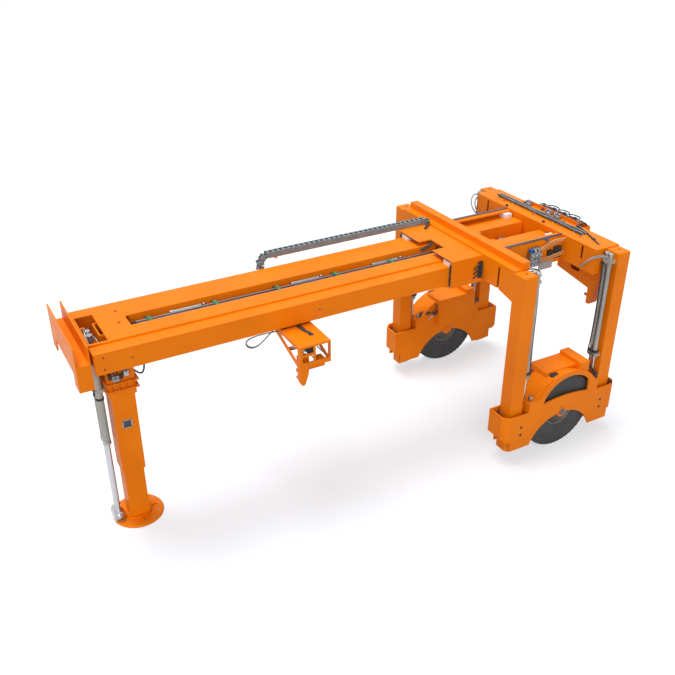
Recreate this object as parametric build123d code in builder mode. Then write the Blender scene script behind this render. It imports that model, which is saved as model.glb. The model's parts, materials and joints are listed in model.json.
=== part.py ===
"""Container mover: a sliding beam on a telescopic front leg, carried at the back by two wheel units.

Millimetres, +Z up. X runs along the beam with the wheels at the +X end, Y = 0 is the plane of symmetry
and the near side is -Y. The origin is on the floor, below the middle of the overall length. The machine
is parked: its frame is lowered on the wheel units, and the front leg stands on its round foot plate.
Places along X are given as distances in front of the wheel axle, and places across as distances from
the plane of symmetry.
"""
import os

from build123d import *

os.makedirs("parts", exist_ok=True)

SIDES = {"near": -1, "far": 1}
ENDS = {"front": 1, "rear": -1}
SEAT = 0.3              # joint between pieces that are fitted together, and under guides

# Wheels
WHEEL_R = 747
WHEEL_Y = 1773
TYRE_W = 320
TYRE_SHOULDER = 45
RIM_R = 300
RIM_WALL = 16
RIM_STEP = 12
RIM_DISC = 24
HUB_R = 130
HUB_STEP = 20
AXLE_R = 45
AXLE_LIP = 18
AXLE_HEAD = 20

# Sliding beam: two box rails with a deck that is a step higher than their outer strips
BEAM_FRONT = 7735
BEAM_HALF = 735
BEAM_LOW = 3158
RAIL_TOP = BEAM_LOW + 334
RAIL_WALL = 14
DECK_TOP = RAIL_TOP + 27
DECK_HALF = 487
SLOT_HALF = 165
POCKET_HALF = 235       # the slot is wider and has a floor near the beam's tail
POCKET_FRONT = 415
POCKET_END = -170
POCKET_FLOOR = BEAM_LOW + 132
POCKET_T = 14
BAY_BACK = BEAM_FRONT - 785     # back of the leg bay, where the deck boxes begin
BAY_HALF = 470
BAY_FLOOR = 18
SLOT_FRONT = BAY_BACK + 70
WELL_FRONT = BEAM_FRONT - 30
WELL_REAR = BEAM_FRONT - 295
WELL_HALF = 440
TRACK_Y = 360
TRACK_WEB = 24
TRACK_HEAD = 100
TRACK_LOW = BEAM_LOW - 62
TRACK_T = 18
TRACK_FRONT = BAY_BACK + 40
TIE_X = (5900, 4300, 2700, 1100)
TIE_LENGTH = 120
TIE_LOW = BEAM_LOW + 22
TIE_TOP = TIE_LOW + 120

# Crosshead at the front end of the beam
CROSSHEAD_HALF = 795
CROSSHEAD_STUB = 53
CROSSHEAD_DEPTH = 212
FRONT_REACH = BEAM_FRONT + CROSSHEAD_STUB + CROSSHEAD_DEPTH
FIN = 22
FIN_TOP = DECK_TOP + 161
FIN_LOW = BEAM_LOW + 47
FIN_WEB = BEAM_LOW + 222
DROP_LOW = BEAM_LOW - 163
DROP_IN = 560
STUB_HALF = 470
STUB_LOW = BEAM_LOW + 42
STUB_TOP = RAIL_TOP - 22

# Pipes in the slot of the beam
PIPE_R = 16
PIPE_Y = 40
PIPE_Z = DECK_TOP - 79
PIPE_FRONT = BAY_BACK - 50
PIPE_REAR = 900
SADDLE_FRONT = BAY_BACK - 250
SADDLE_STEP = 1060
SADDLE_HALF = 36
SADDLE_T = 14

# Columns of the frame
COLUMN_SIZE = 270
COLUMN_HALF = COLUMN_SIZE / 2
COLUMN_WALL = 16
COLUMN_X = 1010
COLUMN_FACE = WHEEL_Y - COLUMN_HALF
CAP = 24
CAP_CHAMFER = 18
TRAY_DEPTH = 305        # of the platform behind the rear columns
REAR_REACH = COLUMN_X + COLUMN_HALF + TRAY_DEPTH
AXLE_X = (FRONT_REACH - REAR_REACH) / 2     # puts the origin below the middle of the overall length

# Sleeve of the frame that the beam slides in, and its wear pads
SLEEVE_FRONT = COLUMN_X + COLUMN_HALF + 625
SLEEVE_PLATE = 26
SLEEVE_SIDE_GAP = 34
SLEEVE_TOP = DECK_TOP + SLEEVE_PLATE + 55
SLEEVE_LOW = BEAM_LOW - SLEEVE_PLATE - 20
SLEEVE_HALF = BEAM_HALF + SLEEVE_SIDE_GAP + SLEEVE_PLATE
SLEEVE_LIP = 640        # behind the head, only lips over the beam's outer strips are left of the top
NOTCH_DEPTH = 260
NOTCH_HALF = 210
PAD_FIT = 0.3
PAD_LENGTH = 150
PAD_WIDTH = 190
PAD_STEP = 5
TRACK_REAR = SLEEVE_FRONT + 40

# Cross beams between the columns
CROSS_LOW = SLEEVE_LOW + 58
CROSS_WALL = 16
HAUNCH = 85
HAUNCH_IN = 1275
LEDGE_TOP = SLEEVE_TOP + 32
RIDGE_TOP = SLEEVE_TOP + 145
RIDGE_FRONT = COLUMN_X - 10
RIDGE_REAR = COLUMN_X - 170
FRONT_VENT = (1225, 1275)
REAR_VENT = (1290, 1335)
VENT_END = 40           # from a vent's upper end to the top of its beam
VENT_LENGTH = 240       # of the rear vents; the front ones reach down to the beam's underside
REAR_BOX = COLUMN_X - COLUMN_HALF - 255     # front of the rear cross beam, behind the axle
BEAM_TAIL = 30 - REAR_BOX
COLUMN_TOP = SLEEVE_TOP + 14

# Wheel yokes: two side plates with cups between them, and a cover over the tyre
PLATE = 30
YOKE_GAP = 37           # between the tyre and a side plate
YOKE_OUT = WHEEL_Y + TYRE_W / 2 + YOKE_GAP + PLATE
YOKE_IN = WHEEL_Y - TYRE_W / 2 - YOKE_GAP - PLATE
CUP_IN = COLUMN_X - COLUMN_HALF - 80        # inside of a cup's wall next to the tyre
CUP_REACH = COLUMN_X + COLUMN_HALF + 152
CUP_WALL = 25
CUP_LOW = 460
CUP_TOP = 980
CUP_CHAMFER = 60
CUP_CORNER = 110
COLUMN_GAP = 8          # between a column's end and the floor of its cup
FOOT_LOW = 153
FOOT_CHAMFER = 40
FOOT_CORNER = 70
SKIRT_LOW = 265
ARCH_R = 750
BOSS_R = 100
COVER_R = 808
COVER = 22
COVER_SIDE = 12         # plate that closes the cover's outer end
SHIELD_R = 745          # arched top of the outer side plate
SHIELD_BACK = 85
SHIELD_Z = 830
WINDOW_R = 611          # crescent window in it
WINDOW_BACK = 98
WINDOW_Z = 863
WINDOW_END = 565
WINDOW_SPAN = 700
WINDOW_LOW = 999        # the arc below the window rises from here, a span before and behind the axle
WINDOW_RISE = 98
WINDOW_ROUND = 12

# Hood on the inside of the yoke: motor housing, flat top over the cover, and a duct across it
HOOD_IN = 1400
HOOD_OUT = 1836
HOOD_FRONT = 340
HOOD_REAR = 560
HOOD_LOW = 1000
HOOD_TOP = WHEEL_R + COVER_R + 14
HOOD_WALL = 12
HOOD_ROUND = 20
DUCT_FRONT = 331        # front of the duct, behind the axle
DUCT_LENGTH = 200
DUCT_RISE = 82
DUCT_STEP = 20

# Masts that stand in the cups and slide in the columns
MAST_GAP = 8
MAST_SIZE = COLUMN_SIZE - 2 * (COLUMN_WALL + MAST_GAP)
MAST_WALL = 18
MAST_DEPTH = 234        # from the column's top down to the mast's

# Lift cylinders, a pair beside each column
LIFT_X = COLUMN_X - COLUMN_HALF - 85
LIFT_SPACING = 84
LIFT_SEAT = CUP_TOP + 210
BARREL_R = 36
BARREL_BORE = 28
BARREL_END = 30         # closed end of a barrel, and the gland at its other end
BARREL_LOW = LIFT_SEAT + 390
LIFT_ROD_R = 24
LIFT_ROD_DEPTH = 100    # from the barrel's top down to the rod's
CLAMP_STEPS = (20, 1840)
CLAMP = 50
CLAMP_HALF = 90

# Telescopic leg: a guide on the beam, a middle stage, and an inner stage on a round foot plate
LEG_X = BEAM_FRONT - 441
GUIDE = 420
GUIDE_WALL = 20
GUIDE_LOW = 2400
FLANGE = 520
FLANGE_T = 25
FLANGE_STEPS = (53, 123)        # undersides of the two flanges, below the beam
COLLAR_T = 60
LEG_GAP = 8
MIDDLE = GUIDE - 2 * (GUIDE_WALL + LEG_GAP)
MIDDLE_WALL = 16
MIDDLE_TRAVEL = 425
INNER = MIDDLE - 2 * (MIDDLE_WALL + LEG_GAP)
INNER_WALL = 14
INNER_TRAVEL = 900
LEG_TRAVEL = MIDDLE_TRAVEL + INNER_TRAVEL
LEG_TOP = RAIL_TOP - 52         # top of the middle stage when the leg is drawn in
STAGE_STEP = 20
FOOT_R = 418
FOOT_T = 32
FOOT_BEVEL = 14
FOOT_RING_R = 230
FOOT_RING = 30
STAGE_REST = 12         # between the middle stage and the foot ring, drawn in
LEG_CYL_X = BEAM_FRONT - 115
LEG_CYL_Y = 68
LEG_BARREL_R = 58
LEG_BARREL_BORE = 42
LEG_BARREL_LOW = 1545
LEG_BARREL_TOP = LEG_TOP
LEG_ROD_R = 38
LEG_ROD_TOP = LEG_BARREL_LOW + 515
LEG_CLAMP_Z = (2500, 2940)
LUG_R = 92
LUG_HALF = 130
LUG_Z = 112
LUG_PIN_R = 48
LUG_PIN_OUT = 22

# Lifting arms: the rear pair is fixed, the middle pair is on a carriage below the beam
REAR_LOCK = -1005
LOCK_PITCH = 5853       # corner fittings of a 20 ft container, lengthwise
MID_LOCK = REAR_LOCK + LOCK_PITCH
LOCK_R = 26
LOCK_Z = 2520
LOCK_IN = 1170
ARM_FORE = 60           # the arm's front plate, in front of its lock
ARM_LENGTH = 530
ARM_PLATE = 20
ARM_ROOT = 470
ARM_OUT = 1380
ARM_TOP = BEAM_LOW - 20
ARM_ROOT_LOW = TRACK_LOW - 46
ARM_LOW = 2770
ARM_KNEE = 1300
ARM_RIM = 62            # left round the opening in each of the arm's plates
ARM_COVER_IN = 745
ARM_PANES = ((55, 240), (275, 510))         # openings in the outer frame, behind the arm's front
ARM_PANE_LOW = ARM_LOW + 85
ARM_PANE_TOP = ARM_TOP - 35
ARM_BAR = 40            # bar across the front opening
TIP_LOW = LOCK_Z - 50
TIP_T = 80
TIP_LENGTH = 160
TIP_HEEL = 2640
TIP_POINT = 75          # the tip tapers towards its lower end by this height at its front
TIP_SLANT = 15
CARRIAGE_T = 30
CARRIAGE_GAP = 6
CLAW_WALL = 16
CLAW_LIP = 28

# Rear end of the frame
REAR_ARM_HALF = 95
REAR_ARM_WALL = 18
REAR_ARM_IN = 480
REAR_ARM_OUT = 1600
REAR_ARM_IN_LOW = 2835
REAR_ARM_TIP_IN = 1300
REAR_ARM_TIP_OUT = 1372
REAR_ARM_TIP = LOCK_Z - 103
REAR_ARM_SHOULDER = 2713
REAR_HOLE_Y = 930
REAR_HOLE_Z = 2975
REAR_HOLE = (240, 120)
TRAY_HALF = 640
TRAY_LOW = SLEEVE_TOP - 160
TRAY_LIP = 120
TRAY_WALL = 10
TRAY_BANK = (180, 150, 130)
BANK_Y = (-420, -140, 140, 420)
VALVE_REAR = -80
VALVE_FRONT = 160
VALVE_DEEP = 110
VALVE_LOW = CROSS_LOW + 10
VALVE_TOP = VALVE_LOW + 270

# Cable chain on the far side
CHAIN_Y = 905
CHAIN_W = 110
CHAIN_H = 110
CHAIN_BEND = 175
CHAIN_FRONT = 4320
CHAIN_END = 1160
CHAIN_LOWER_END = 1900
CHAIN_Z = SLEEVE_TOP + CHAIN_H / 2
CHAIN_SHELF = 20


def block(x, y, z, mode=Mode.ADD):
    """A box between the (one end, other end) pairs x, y and z, in the open part."""
    with Locations((sum(x) / 2, sum(y) / 2, sum(z) / 2)):
        Box(abs(x[1] - x[0]), abs(y[1] - y[0]), abs(z[1] - z[0]), mode=mode)


def tube(x, y, z, outer, wall):
    """A square tube about the point (x, y), between the heights z."""
    block((x - outer / 2, x + outer / 2), (y - outer / 2, y + outer / 2), z)
    hollow = outer / 2 - wall
    block((x - hollow, x + hollow), (y - hollow, y + hollow), z, mode=Mode.SUBTRACT)


def rod(x, y, z, radius, mode=Mode.ADD):
    """An upright cylinder about the point (x, y), between the heights z."""
    with Locations((x, y, sum(z) / 2)):
        Cylinder(radius, abs(z[1] - z[0]), mode=mode)


def ahead(*distances):
    """X of places at these distances in front of the axle, negative behind it."""
    return tuple(AXLE_X - distance for distance in distances)


def span(side, *distances):
    """Y of places at these distances from the plane of symmetry, on one side."""
    return tuple(side * distance for distance in distances)


def slab(outline, ys, mode=Mode.ADD):
    """A plate between two Y values, from a sketch of (X behind the axle, Z)."""
    with BuildSketch(Plane((AXLE_X, max(ys), 0), x_dir=(1, 0, 0), z_dir=(0, -1, 0))) as profile:
        add(outline)
    extrude(profile.sketch, amount=abs(ys[1] - ys[0]), mode=mode)


def across(points, xs, inset=0, mode=Mode.ADD):
    """A plate between two X values, from a straight-sided outline of (Y, Z) points, drawn in by inset."""
    with BuildSketch(Plane((min(xs), 0, 0), x_dir=(0, 1, 0), z_dir=(1, 0, 0))) as profile:
        with BuildLine():
            Polyline(*points, close=True)
        make_face()
        if inset:
            offset(amount=-inset, kind=Kind.INTERSECTION, mode=Mode.REPLACE)
    extrude(profile.sketch, amount=abs(xs[1] - xs[0]), mode=mode)


def arched(radius, back, height):
    """The part of a disc above the seats of the lift cylinders; its middle is at (back, height)."""
    with BuildSketch() as top:
        with Locations((back, height)):
            Circle(radius)
        with Locations((back, LIFT_SEAT - CUP_WALL - radius)):
            Rectangle(2 * radius, 2 * radius, mode=Mode.SUBTRACT)
    return top.sketch


def upright(points, side, end, z, mode=Mode.ADD):
    """A block between two heights, from a plan of (distance from the axle, from the plane of symmetry)."""
    with BuildSketch(Plane.XY.offset(min(z))) as plan:
        with BuildLine():
            Polyline(*[(AXLE_X - end * x, side * y) for x, y in points], close=True)
        make_face()
    extrude(plan.sketch, amount=abs(z[1] - z[0]), mode=mode)


def save(part, name):
    part.label = name
    export_step(part, f"parts/{name}.step")


# Wheels: tyre and rim turn on an axle that both yoke plates hold
for name, side in SIDES.items():
    outward = Plane((AXLE_X, 0, WHEEL_R), x_dir=(1, 0, 0), z_dir=(0, side, 0))
    with BuildPart(outward) as tyre:
        with Locations((0, 0, WHEEL_Y)):
            Cylinder(WHEEL_R, TYRE_W)
            fillet(tyre.edges().filter_by(GeomType.CIRCLE), TYRE_SHOULDER)
            Cylinder(RIM_R + SEAT, TYRE_W, mode=Mode.SUBTRACT)
    save(tyre.part, f"tyre_{name}")

    with BuildPart(outward) as rim:
        with Locations((0, 0, WHEEL_Y)):
            Cylinder(RIM_R, TYRE_W - 2 * RIM_STEP)
            Cylinder(RIM_R - RIM_WALL, TYRE_W, mode=Mode.SUBTRACT)
            Cylinder(RIM_R - RIM_WALL, RIM_DISC)
            Cylinder(HUB_R, TYRE_W - 2 * HUB_STEP)
            Cylinder(AXLE_R + SEAT, TYRE_W, mode=Mode.SUBTRACT)
    save(rim.part, f"rim_{name}")

    with BuildPart(outward) as axle:
        with Locations((0, 0, (YOKE_IN + YOKE_OUT) / 2)):
            Cylinder(AXLE_R, YOKE_OUT - YOKE_IN)
        with Locations((0, 0, YOKE_OUT + AXLE_HEAD / 2)):
            Cylinder(AXLE_R + AXLE_LIP, AXLE_HEAD)
    save(axle.part, f"axle_{name}")


# Outlines of a yoke's side plates: both have an arch below and a hole for the axle
with BuildSketch() as plate_base:
    with Locations((0, (CUP_LOW + CUP_TOP) / 2)):
        Rectangle(2 * CUP_REACH, CUP_TOP - CUP_LOW)
    chamfer(plate_base.vertices().group_by(Axis.Y)[0], CUP_CHAMFER)
    with Locations((0, (SKIRT_LOW + CUP_LOW + CUP_CHAMFER) / 2)):
        Rectangle(2 * (COLUMN_X + COLUMN_HALF), CUP_LOW + CUP_CHAMFER - SKIRT_LOW)
    with Locations((0, (CUP_LOW + LIFT_SEAT) / 2)):
        Rectangle(2 * CUP_IN, LIFT_SEAT - CUP_LOW)
    Circle(ARCH_R, mode=Mode.SUBTRACT)
    Rectangle(2 * ARCH_R, 2 * SKIRT_LOW, mode=Mode.SUBTRACT)
    with Locations((0, WHEEL_R)):
        Circle(BOSS_R)
        Circle(AXLE_R + SEAT, mode=Mode.SUBTRACT)

# The outer one has a lower arched top and a crescent window, the inner one follows the cover
with BuildSketch() as window:
    with Locations((WINDOW_BACK, WINDOW_Z)):
        Circle(WINDOW_R)
    with Locations((WINDOW_END - 2 * WINDOW_R, WINDOW_Z)):
        Rectangle(4 * WINDOW_R, 4 * WINDOW_R, mode=Mode.INTERSECT)
    with BuildLine():
        sill = ThreePointArc((-WINDOW_SPAN, WINDOW_LOW), (0, WINDOW_LOW + WINDOW_RISE),
                             (WINDOW_SPAN, WINDOW_LOW))
        Polyline(sill @ 0, (-WINDOW_SPAN, 0), (WINDOW_SPAN, 0), sill @ 1)
    make_face(mode=Mode.SUBTRACT)
    fillet(window.vertices(), WINDOW_ROUND)

with BuildSketch() as outer_plate:
    add(plate_base.sketch)
    add(arched(SHIELD_R, SHIELD_BACK, SHIELD_Z))
    add(window.sketch, mode=Mode.SUBTRACT)

with BuildSketch() as inner_plate:
    add(plate_base.sketch)
    add(arched(COVER_R, 0, WHEEL_R))

with BuildSketch() as cup_section:
    for end in ENDS.values():
        with BuildLine():
            Polyline((-end * (CUP_IN - CUP_WALL), LIFT_SEAT), (-end * (CUP_IN - CUP_WALL), CUP_LOW),
                     (-end * (CUP_REACH - CUP_CHAMFER), CUP_LOW), (-end * CUP_REACH, CUP_LOW + CUP_CHAMFER),
                     (-end * CUP_REACH, LIFT_SEAT), close=True)
        make_face()
        with Locations((-end * (CUP_IN + (CUP_REACH - CUP_WALL - CUP_IN) / 2),
                        CUP_LOW + CUP_CHAMFER + (LIFT_SEAT - CUP_LOW) / 2)):
            Rectangle(CUP_REACH - CUP_WALL - CUP_IN, LIFT_SEAT - CUP_LOW, mode=Mode.SUBTRACT)
        with Locations((-end * (CUP_IN + (COLUMN_X + COLUMN_HALF - CUP_IN) / 2),
                        CUP_LOW + CUP_WALL + CUP_CHAMFER / 2)):
            Rectangle(COLUMN_X + COLUMN_HALF - CUP_IN, CUP_CHAMFER, mode=Mode.SUBTRACT)
        with Locations((-end * CUP_REACH, (CUP_TOP + LIFT_SEAT) / 2)):
            Rectangle(2 * CUP_WALL, LIFT_SEAT - CUP_TOP, mode=Mode.SUBTRACT)
        # The seat of the lift cylinders reaches from the cover to past the rods
        from_cover = (COVER_R ** 2 - (LIFT_SEAT - WHEEL_R) ** 2) ** 0.5
        past_rods = LIFT_X + LIFT_ROD_R + CUP_WALL
        with Locations((-end * (from_cover + past_rods) / 2, LIFT_SEAT - CUP_WALL / 2)):
            Rectangle(past_rods - from_cover, CUP_WALL)

with BuildSketch() as cover_section:
    add(arched(COVER_R, 0, WHEEL_R))
    with Locations((0, WHEEL_R)):
        Circle(COVER_R - COVER, mode=Mode.SUBTRACT)

with BuildSketch() as cover_side:
    add(arched(COVER_R, 0, WHEEL_R))
    add(window.sketch, mode=Mode.SUBTRACT)

for name, side in SIDES.items():
    with BuildPart() as yoke:
        slab(outer_plate.sketch, span(side, YOKE_OUT - PLATE, YOKE_OUT))
        slab(inner_plate.sketch, span(side, YOKE_IN, YOKE_IN + PLATE))
        slab(cup_section.sketch, span(side, YOKE_IN + PLATE, YOKE_OUT - PLATE))
        slab(cover_section.sketch, span(side, YOKE_IN + PLATE, YOKE_OUT - PLATE))
        slab(cover_side.sketch, span(side, YOKE_OUT - PLATE - COVER_SIDE, YOKE_OUT - PLATE))
        # The outer corner of each cup is cut off and closed by a slanting wall
        for end in ENDS.values():
            inner = CUP_CORNER + CUP_WALL * 2 ** 0.5
            corner = [(CUP_REACH, YOKE_OUT), (CUP_REACH - CUP_CORNER, YOKE_OUT),
                      (CUP_REACH, YOKE_OUT - CUP_CORNER)]
            wall = [(CUP_REACH - CUP_CORNER, YOKE_OUT), (CUP_REACH, YOKE_OUT - CUP_CORNER),
                    (CUP_REACH, YOKE_OUT - inner), (CUP_REACH - inner, YOKE_OUT)]
            upright(wall, side, end, (CUP_LOW + CUP_CHAMFER, CUP_TOP))
            upright(corner, side, end, (SKIRT_LOW, LIFT_SEAT), Mode.SUBTRACT)
            foot = [(COLUMN_X - COLUMN_HALF, COLUMN_FACE), (COLUMN_X - COLUMN_HALF, WHEEL_Y + COLUMN_HALF),
                    (COLUMN_X + COLUMN_HALF - FOOT_CORNER, WHEEL_Y + COLUMN_HALF),
                    (COLUMN_X + COLUMN_HALF, WHEEL_Y + COLUMN_HALF - FOOT_CORNER),
                    (COLUMN_X + COLUMN_HALF, COLUMN_FACE)]
            upright(foot, side, end, (FOOT_LOW, CUP_LOW))
        chamfer(yoke.edges().group_by(Axis.Z)[0], FOOT_CHAMFER)
    save(yoke.part, f"yoke_{name}")

    # Hood: motor housing on the inside of the yoke, a flat top over the cover, and a duct across it
    with BuildPart() as housing:
        block(ahead(HOOD_FRONT, -HOOD_REAR), span(side, HOOD_IN, HOOD_OUT), (HOOD_LOW, HOOD_TOP))
        fillet(housing.edges().filter_by(Axis.Y).group_by(Axis.Z)[-1], HOOD_ROUND)
        block(ahead(-DUCT_FRONT, -DUCT_FRONT - DUCT_LENGTH),
              span(side, HOOD_IN + DUCT_STEP, YOKE_OUT - PLATE), (LIFT_SEAT, HOOD_TOP + DUCT_RISE))
        with Locations(Location((AXLE_X, side * (YOKE_IN + YOKE_OUT) / 2, WHEEL_R), (90, 0, 0))):
            Cylinder(COVER_R + SEAT, YOKE_OUT - YOKE_IN, mode=Mode.SUBTRACT)
        block(ahead(HOOD_FRONT, -HOOD_REAR), span(side, YOKE_IN, HOOD_OUT), (HOOD_LOW, LIFT_SEAT),
              mode=Mode.SUBTRACT)
        block(ahead(HOOD_FRONT - HOOD_WALL, -HOOD_REAR + HOOD_WALL),
              span(side, HOOD_IN + HOOD_WALL, YOKE_IN), (HOOD_LOW + HOOD_WALL, HOOD_TOP - HOOD_WALL),
              mode=Mode.SUBTRACT)
    save(housing.part, f"housing_{name}")

    with BuildPart() as masts:
        for end in ENDS.values():
            tube(*ahead(end * COLUMN_X), side * WHEEL_Y, (CUP_LOW + CUP_WALL, COLUMN_TOP - MAST_DEPTH),
                 MAST_SIZE, MAST_WALL)
    save(masts.part, f"masts_{name}")

    with BuildPart() as lift_rods:
        for end in ENDS.values():
            for spacing in (-LIFT_SPACING / 2, LIFT_SPACING / 2):
                rod(*ahead(end * LIFT_X), side * WHEEL_Y + spacing, (LIFT_SEAT, SLEEVE_TOP - LIFT_ROD_DEPTH),
                    LIFT_ROD_R)
    save(lift_rods.part, f"lift_rods_{name}")

    with BuildPart() as barrels:
        for end in ENDS.values():
            for step in CLAMP_STEPS:
                block(ahead(end * (LIFT_X - BARREL_R), end * (COLUMN_X - COLUMN_HALF)),
                      span(side, WHEEL_Y - CLAMP_HALF, WHEEL_Y + CLAMP_HALF),
                      (BARREL_LOW + step, BARREL_LOW + step + CLAMP))
            for spacing in (-LIFT_SPACING / 2, LIFT_SPACING / 2):
                place = (*ahead(end * LIFT_X), side * WHEEL_Y + spacing)
                rod(*place, (BARREL_LOW, SLEEVE_TOP), BARREL_R)
                rod(*place, (BARREL_LOW + BARREL_END, SLEEVE_TOP - BARREL_END), BARREL_BORE,
                    mode=Mode.SUBTRACT)
                rod(*place, (BARREL_LOW, BARREL_LOW + BARREL_END), LIFT_ROD_R + SEAT, mode=Mode.SUBTRACT)
    save(barrels.part, f"lift_barrels_{name}")

    for end_name, end in ENDS.items():
        with BuildPart() as column:
            place = (*ahead(end * COLUMN_X), side * WHEEL_Y)
            column_low = CUP_LOW + CUP_WALL + COLUMN_GAP
            tube(*place, (column_low, COLUMN_TOP - CAP), COLUMN_SIZE, COLUMN_WALL)
            tube(*place, (column_low, column_low + COLLAR_T), COLUMN_SIZE,
                 (COLUMN_SIZE - MAST_SIZE) / 2 - SEAT)
            block(ahead(end * (COLUMN_X - COLUMN_HALF), end * (COLUMN_X + COLUMN_HALF)),
                  span(side, WHEEL_Y - COLUMN_HALF, WHEEL_Y + COLUMN_HALF), (COLUMN_TOP - CAP, COLUMN_TOP))
            chamfer(column.edges().group_by(Axis.Z)[-1], CAP_CHAMFER)
        save(column.part, f"column_{name}_{end_name}")


# Sliding beam
for name, side in SIDES.items():
    bay = [(side * y, z) for y, z in (
        (BAY_HALF, BEAM_LOW), (BEAM_HALF, BEAM_LOW), (BEAM_HALF, RAIL_TOP), (BAY_HALF, RAIL_TOP))]
    box, pocketed = ([(side * y, z) for y, z in (
        (inner, BEAM_LOW), (BEAM_HALF, BEAM_LOW), (BEAM_HALF, RAIL_TOP), (DECK_HALF, RAIL_TOP),
        (DECK_HALF, DECK_TOP), (inner, DECK_TOP))] for inner in (SLOT_HALF, POCKET_HALF))
    lengths = (
        (bay, BEAM_FRONT, BAY_BACK), (box, BAY_BACK, POCKET_FRONT), (pocketed, POCKET_FRONT, BEAM_TAIL))
    with BuildPart() as rail:
        for outline, fore, aft in lengths:
            across(outline, ahead(fore, aft))
        for outline, fore, aft in lengths:
            across(outline, ahead(fore - RAIL_WALL, aft + RAIL_WALL), RAIL_WALL, Mode.SUBTRACT)
        block(ahead(TRACK_FRONT, TRACK_REAR),
              span(side, TRACK_Y - TRACK_WEB / 2, TRACK_Y + TRACK_WEB / 2), (TRACK_LOW, BEAM_LOW))
        block(ahead(TRACK_FRONT, TRACK_REAR),
              span(side, TRACK_Y - TRACK_HEAD / 2, TRACK_Y + TRACK_HEAD / 2),
              (TRACK_LOW, TRACK_LOW + TRACK_T))
    save(rail.part, f"rail_{name}")

with BuildPart() as front_deck:
    block(ahead(BEAM_FRONT, BAY_BACK), (-DECK_HALF, DECK_HALF), (RAIL_TOP, DECK_TOP))
    block(ahead(WELL_FRONT, WELL_REAR), (-WELL_HALF, WELL_HALF), (RAIL_TOP, DECK_TOP), mode=Mode.SUBTRACT)
    block(ahead(SLOT_FRONT, BAY_BACK), (-SLOT_HALF, SLOT_HALF), (RAIL_TOP, DECK_TOP), mode=Mode.SUBTRACT)
    block(ahead(BEAM_FRONT, BAY_BACK), (-BAY_HALF, BAY_HALF), (BEAM_LOW, BEAM_LOW + BAY_FLOOR))
    block(ahead(BEAM_FRONT, BEAM_FRONT - BAY_FLOOR), (-BAY_HALF, BAY_HALF), (BEAM_LOW, RAIL_TOP))
    block(ahead(BAY_BACK + BAY_FLOOR, BAY_BACK), (-BAY_HALF, BAY_HALF), (BEAM_LOW, RAIL_TOP))
    block(ahead(BAY_BACK + BAY_FLOOR, BAY_BACK), (-SLOT_HALF, SLOT_HALF), (TIE_TOP, RAIL_TOP),
          mode=Mode.SUBTRACT)
    guide_hole = GUIDE / 2 + SEAT
    block(ahead(LEG_X - guide_hole, LEG_X + guide_hole), (-guide_hole, guide_hole),
          (BEAM_LOW, BEAM_LOW + BAY_FLOOR), mode=Mode.SUBTRACT)
    for side in SIDES.values():
        rod(*ahead(LEG_CYL_X), side * LEG_CYL_Y, (BEAM_LOW, BEAM_LOW + BAY_FLOOR), LEG_BARREL_R + SEAT,
            mode=Mode.SUBTRACT)
save(front_deck.part, "front_deck")

with BuildPart() as beam_ties:
    for place in TIE_X:
        block(ahead(place + TIE_LENGTH / 2, place - TIE_LENGTH / 2), (-SLOT_HALF, SLOT_HALF),
              (TIE_LOW, TIE_TOP))
    block(ahead(POCKET_FRONT, POCKET_END), (-POCKET_HALF, POCKET_HALF),
          (POCKET_FLOOR - POCKET_T, POCKET_FLOOR))
save(beam_ties.part, "beam_ties")

with BuildPart() as slot_pipes:
    for side in SIDES.values():
        middle = sum(ahead(PIPE_FRONT, PIPE_REAR)) / 2
        with Locations(Location((middle, side * PIPE_Y, PIPE_Z), (0, 90, 0))):
            Cylinder(PIPE_R, PIPE_FRONT - PIPE_REAR)
    for index in range(int((SADDLE_FRONT - PIPE_REAR) / SADDLE_STEP) + 1):
        place = SADDLE_FRONT - index * SADDLE_STEP
        block(ahead(place + SADDLE_HALF, place - SADDLE_HALF), (-SLOT_HALF, SLOT_HALF),
              (PIPE_Z - PIPE_R - SADDLE_T, PIPE_Z - PIPE_R + SADDLE_T / 2))
        block(ahead(place + SADDLE_HALF, place - SADDLE_HALF), (-PIPE_Y - 2 * PIPE_R, PIPE_Y + 2 * PIPE_R),
              (PIPE_Z - PIPE_R, PIPE_Z + PIPE_R + SADDLE_T / 2))
save(slot_pipes.part, "slot_pipes")

with BuildPart() as crosshead:
    inner = FRONT_REACH - CROSSHEAD_DEPTH
    full = (-CROSSHEAD_HALF, CROSSHEAD_HALF)
    block(ahead(FRONT_REACH, FRONT_REACH - FIN), full, (FIN_LOW, FIN_TOP))
    block(ahead(inner + FIN, inner), full, (FIN_LOW, FIN_TOP))
    block(ahead(FRONT_REACH, inner), full, (FIN_WEB, FIN_WEB + FIN))
    block(ahead(inner, BEAM_FRONT), (-STUB_HALF, STUB_HALF), (STUB_LOW, STUB_TOP))
    for side in SIDES.values():
        block(ahead(FRONT_REACH, FRONT_REACH - FIN), span(side, DROP_IN, CROSSHEAD_HALF),
              (DROP_LOW, FIN_LOW))
        block(ahead(FRONT_REACH, inner), span(side, CROSSHEAD_HALF - FIN, CROSSHEAD_HALF),
              (DROP_LOW, FIN_WEB))
save(crosshead.part, "crosshead")

# Leg: the guide and the barrels belong to the beam, the stages slide
with BuildPart() as leg_guide:
    tube(*ahead(LEG_X), 0, (GUIDE_LOW, RAIL_TOP), GUIDE, GUIDE_WALL)
    tube(*ahead(LEG_X), 0, (GUIDE_LOW, GUIDE_LOW + COLLAR_T), GUIDE, (GUIDE - MIDDLE) / 2 - SEAT)
    for step in FLANGE_STEPS:
        tube(*ahead(LEG_X), 0, (BEAM_LOW - step, BEAM_LOW - step + FLANGE_T), FLANGE,
             (FLANGE - GUIDE) / 2 + GUIDE_WALL)
save(leg_guide.part, "leg_guide")

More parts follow.
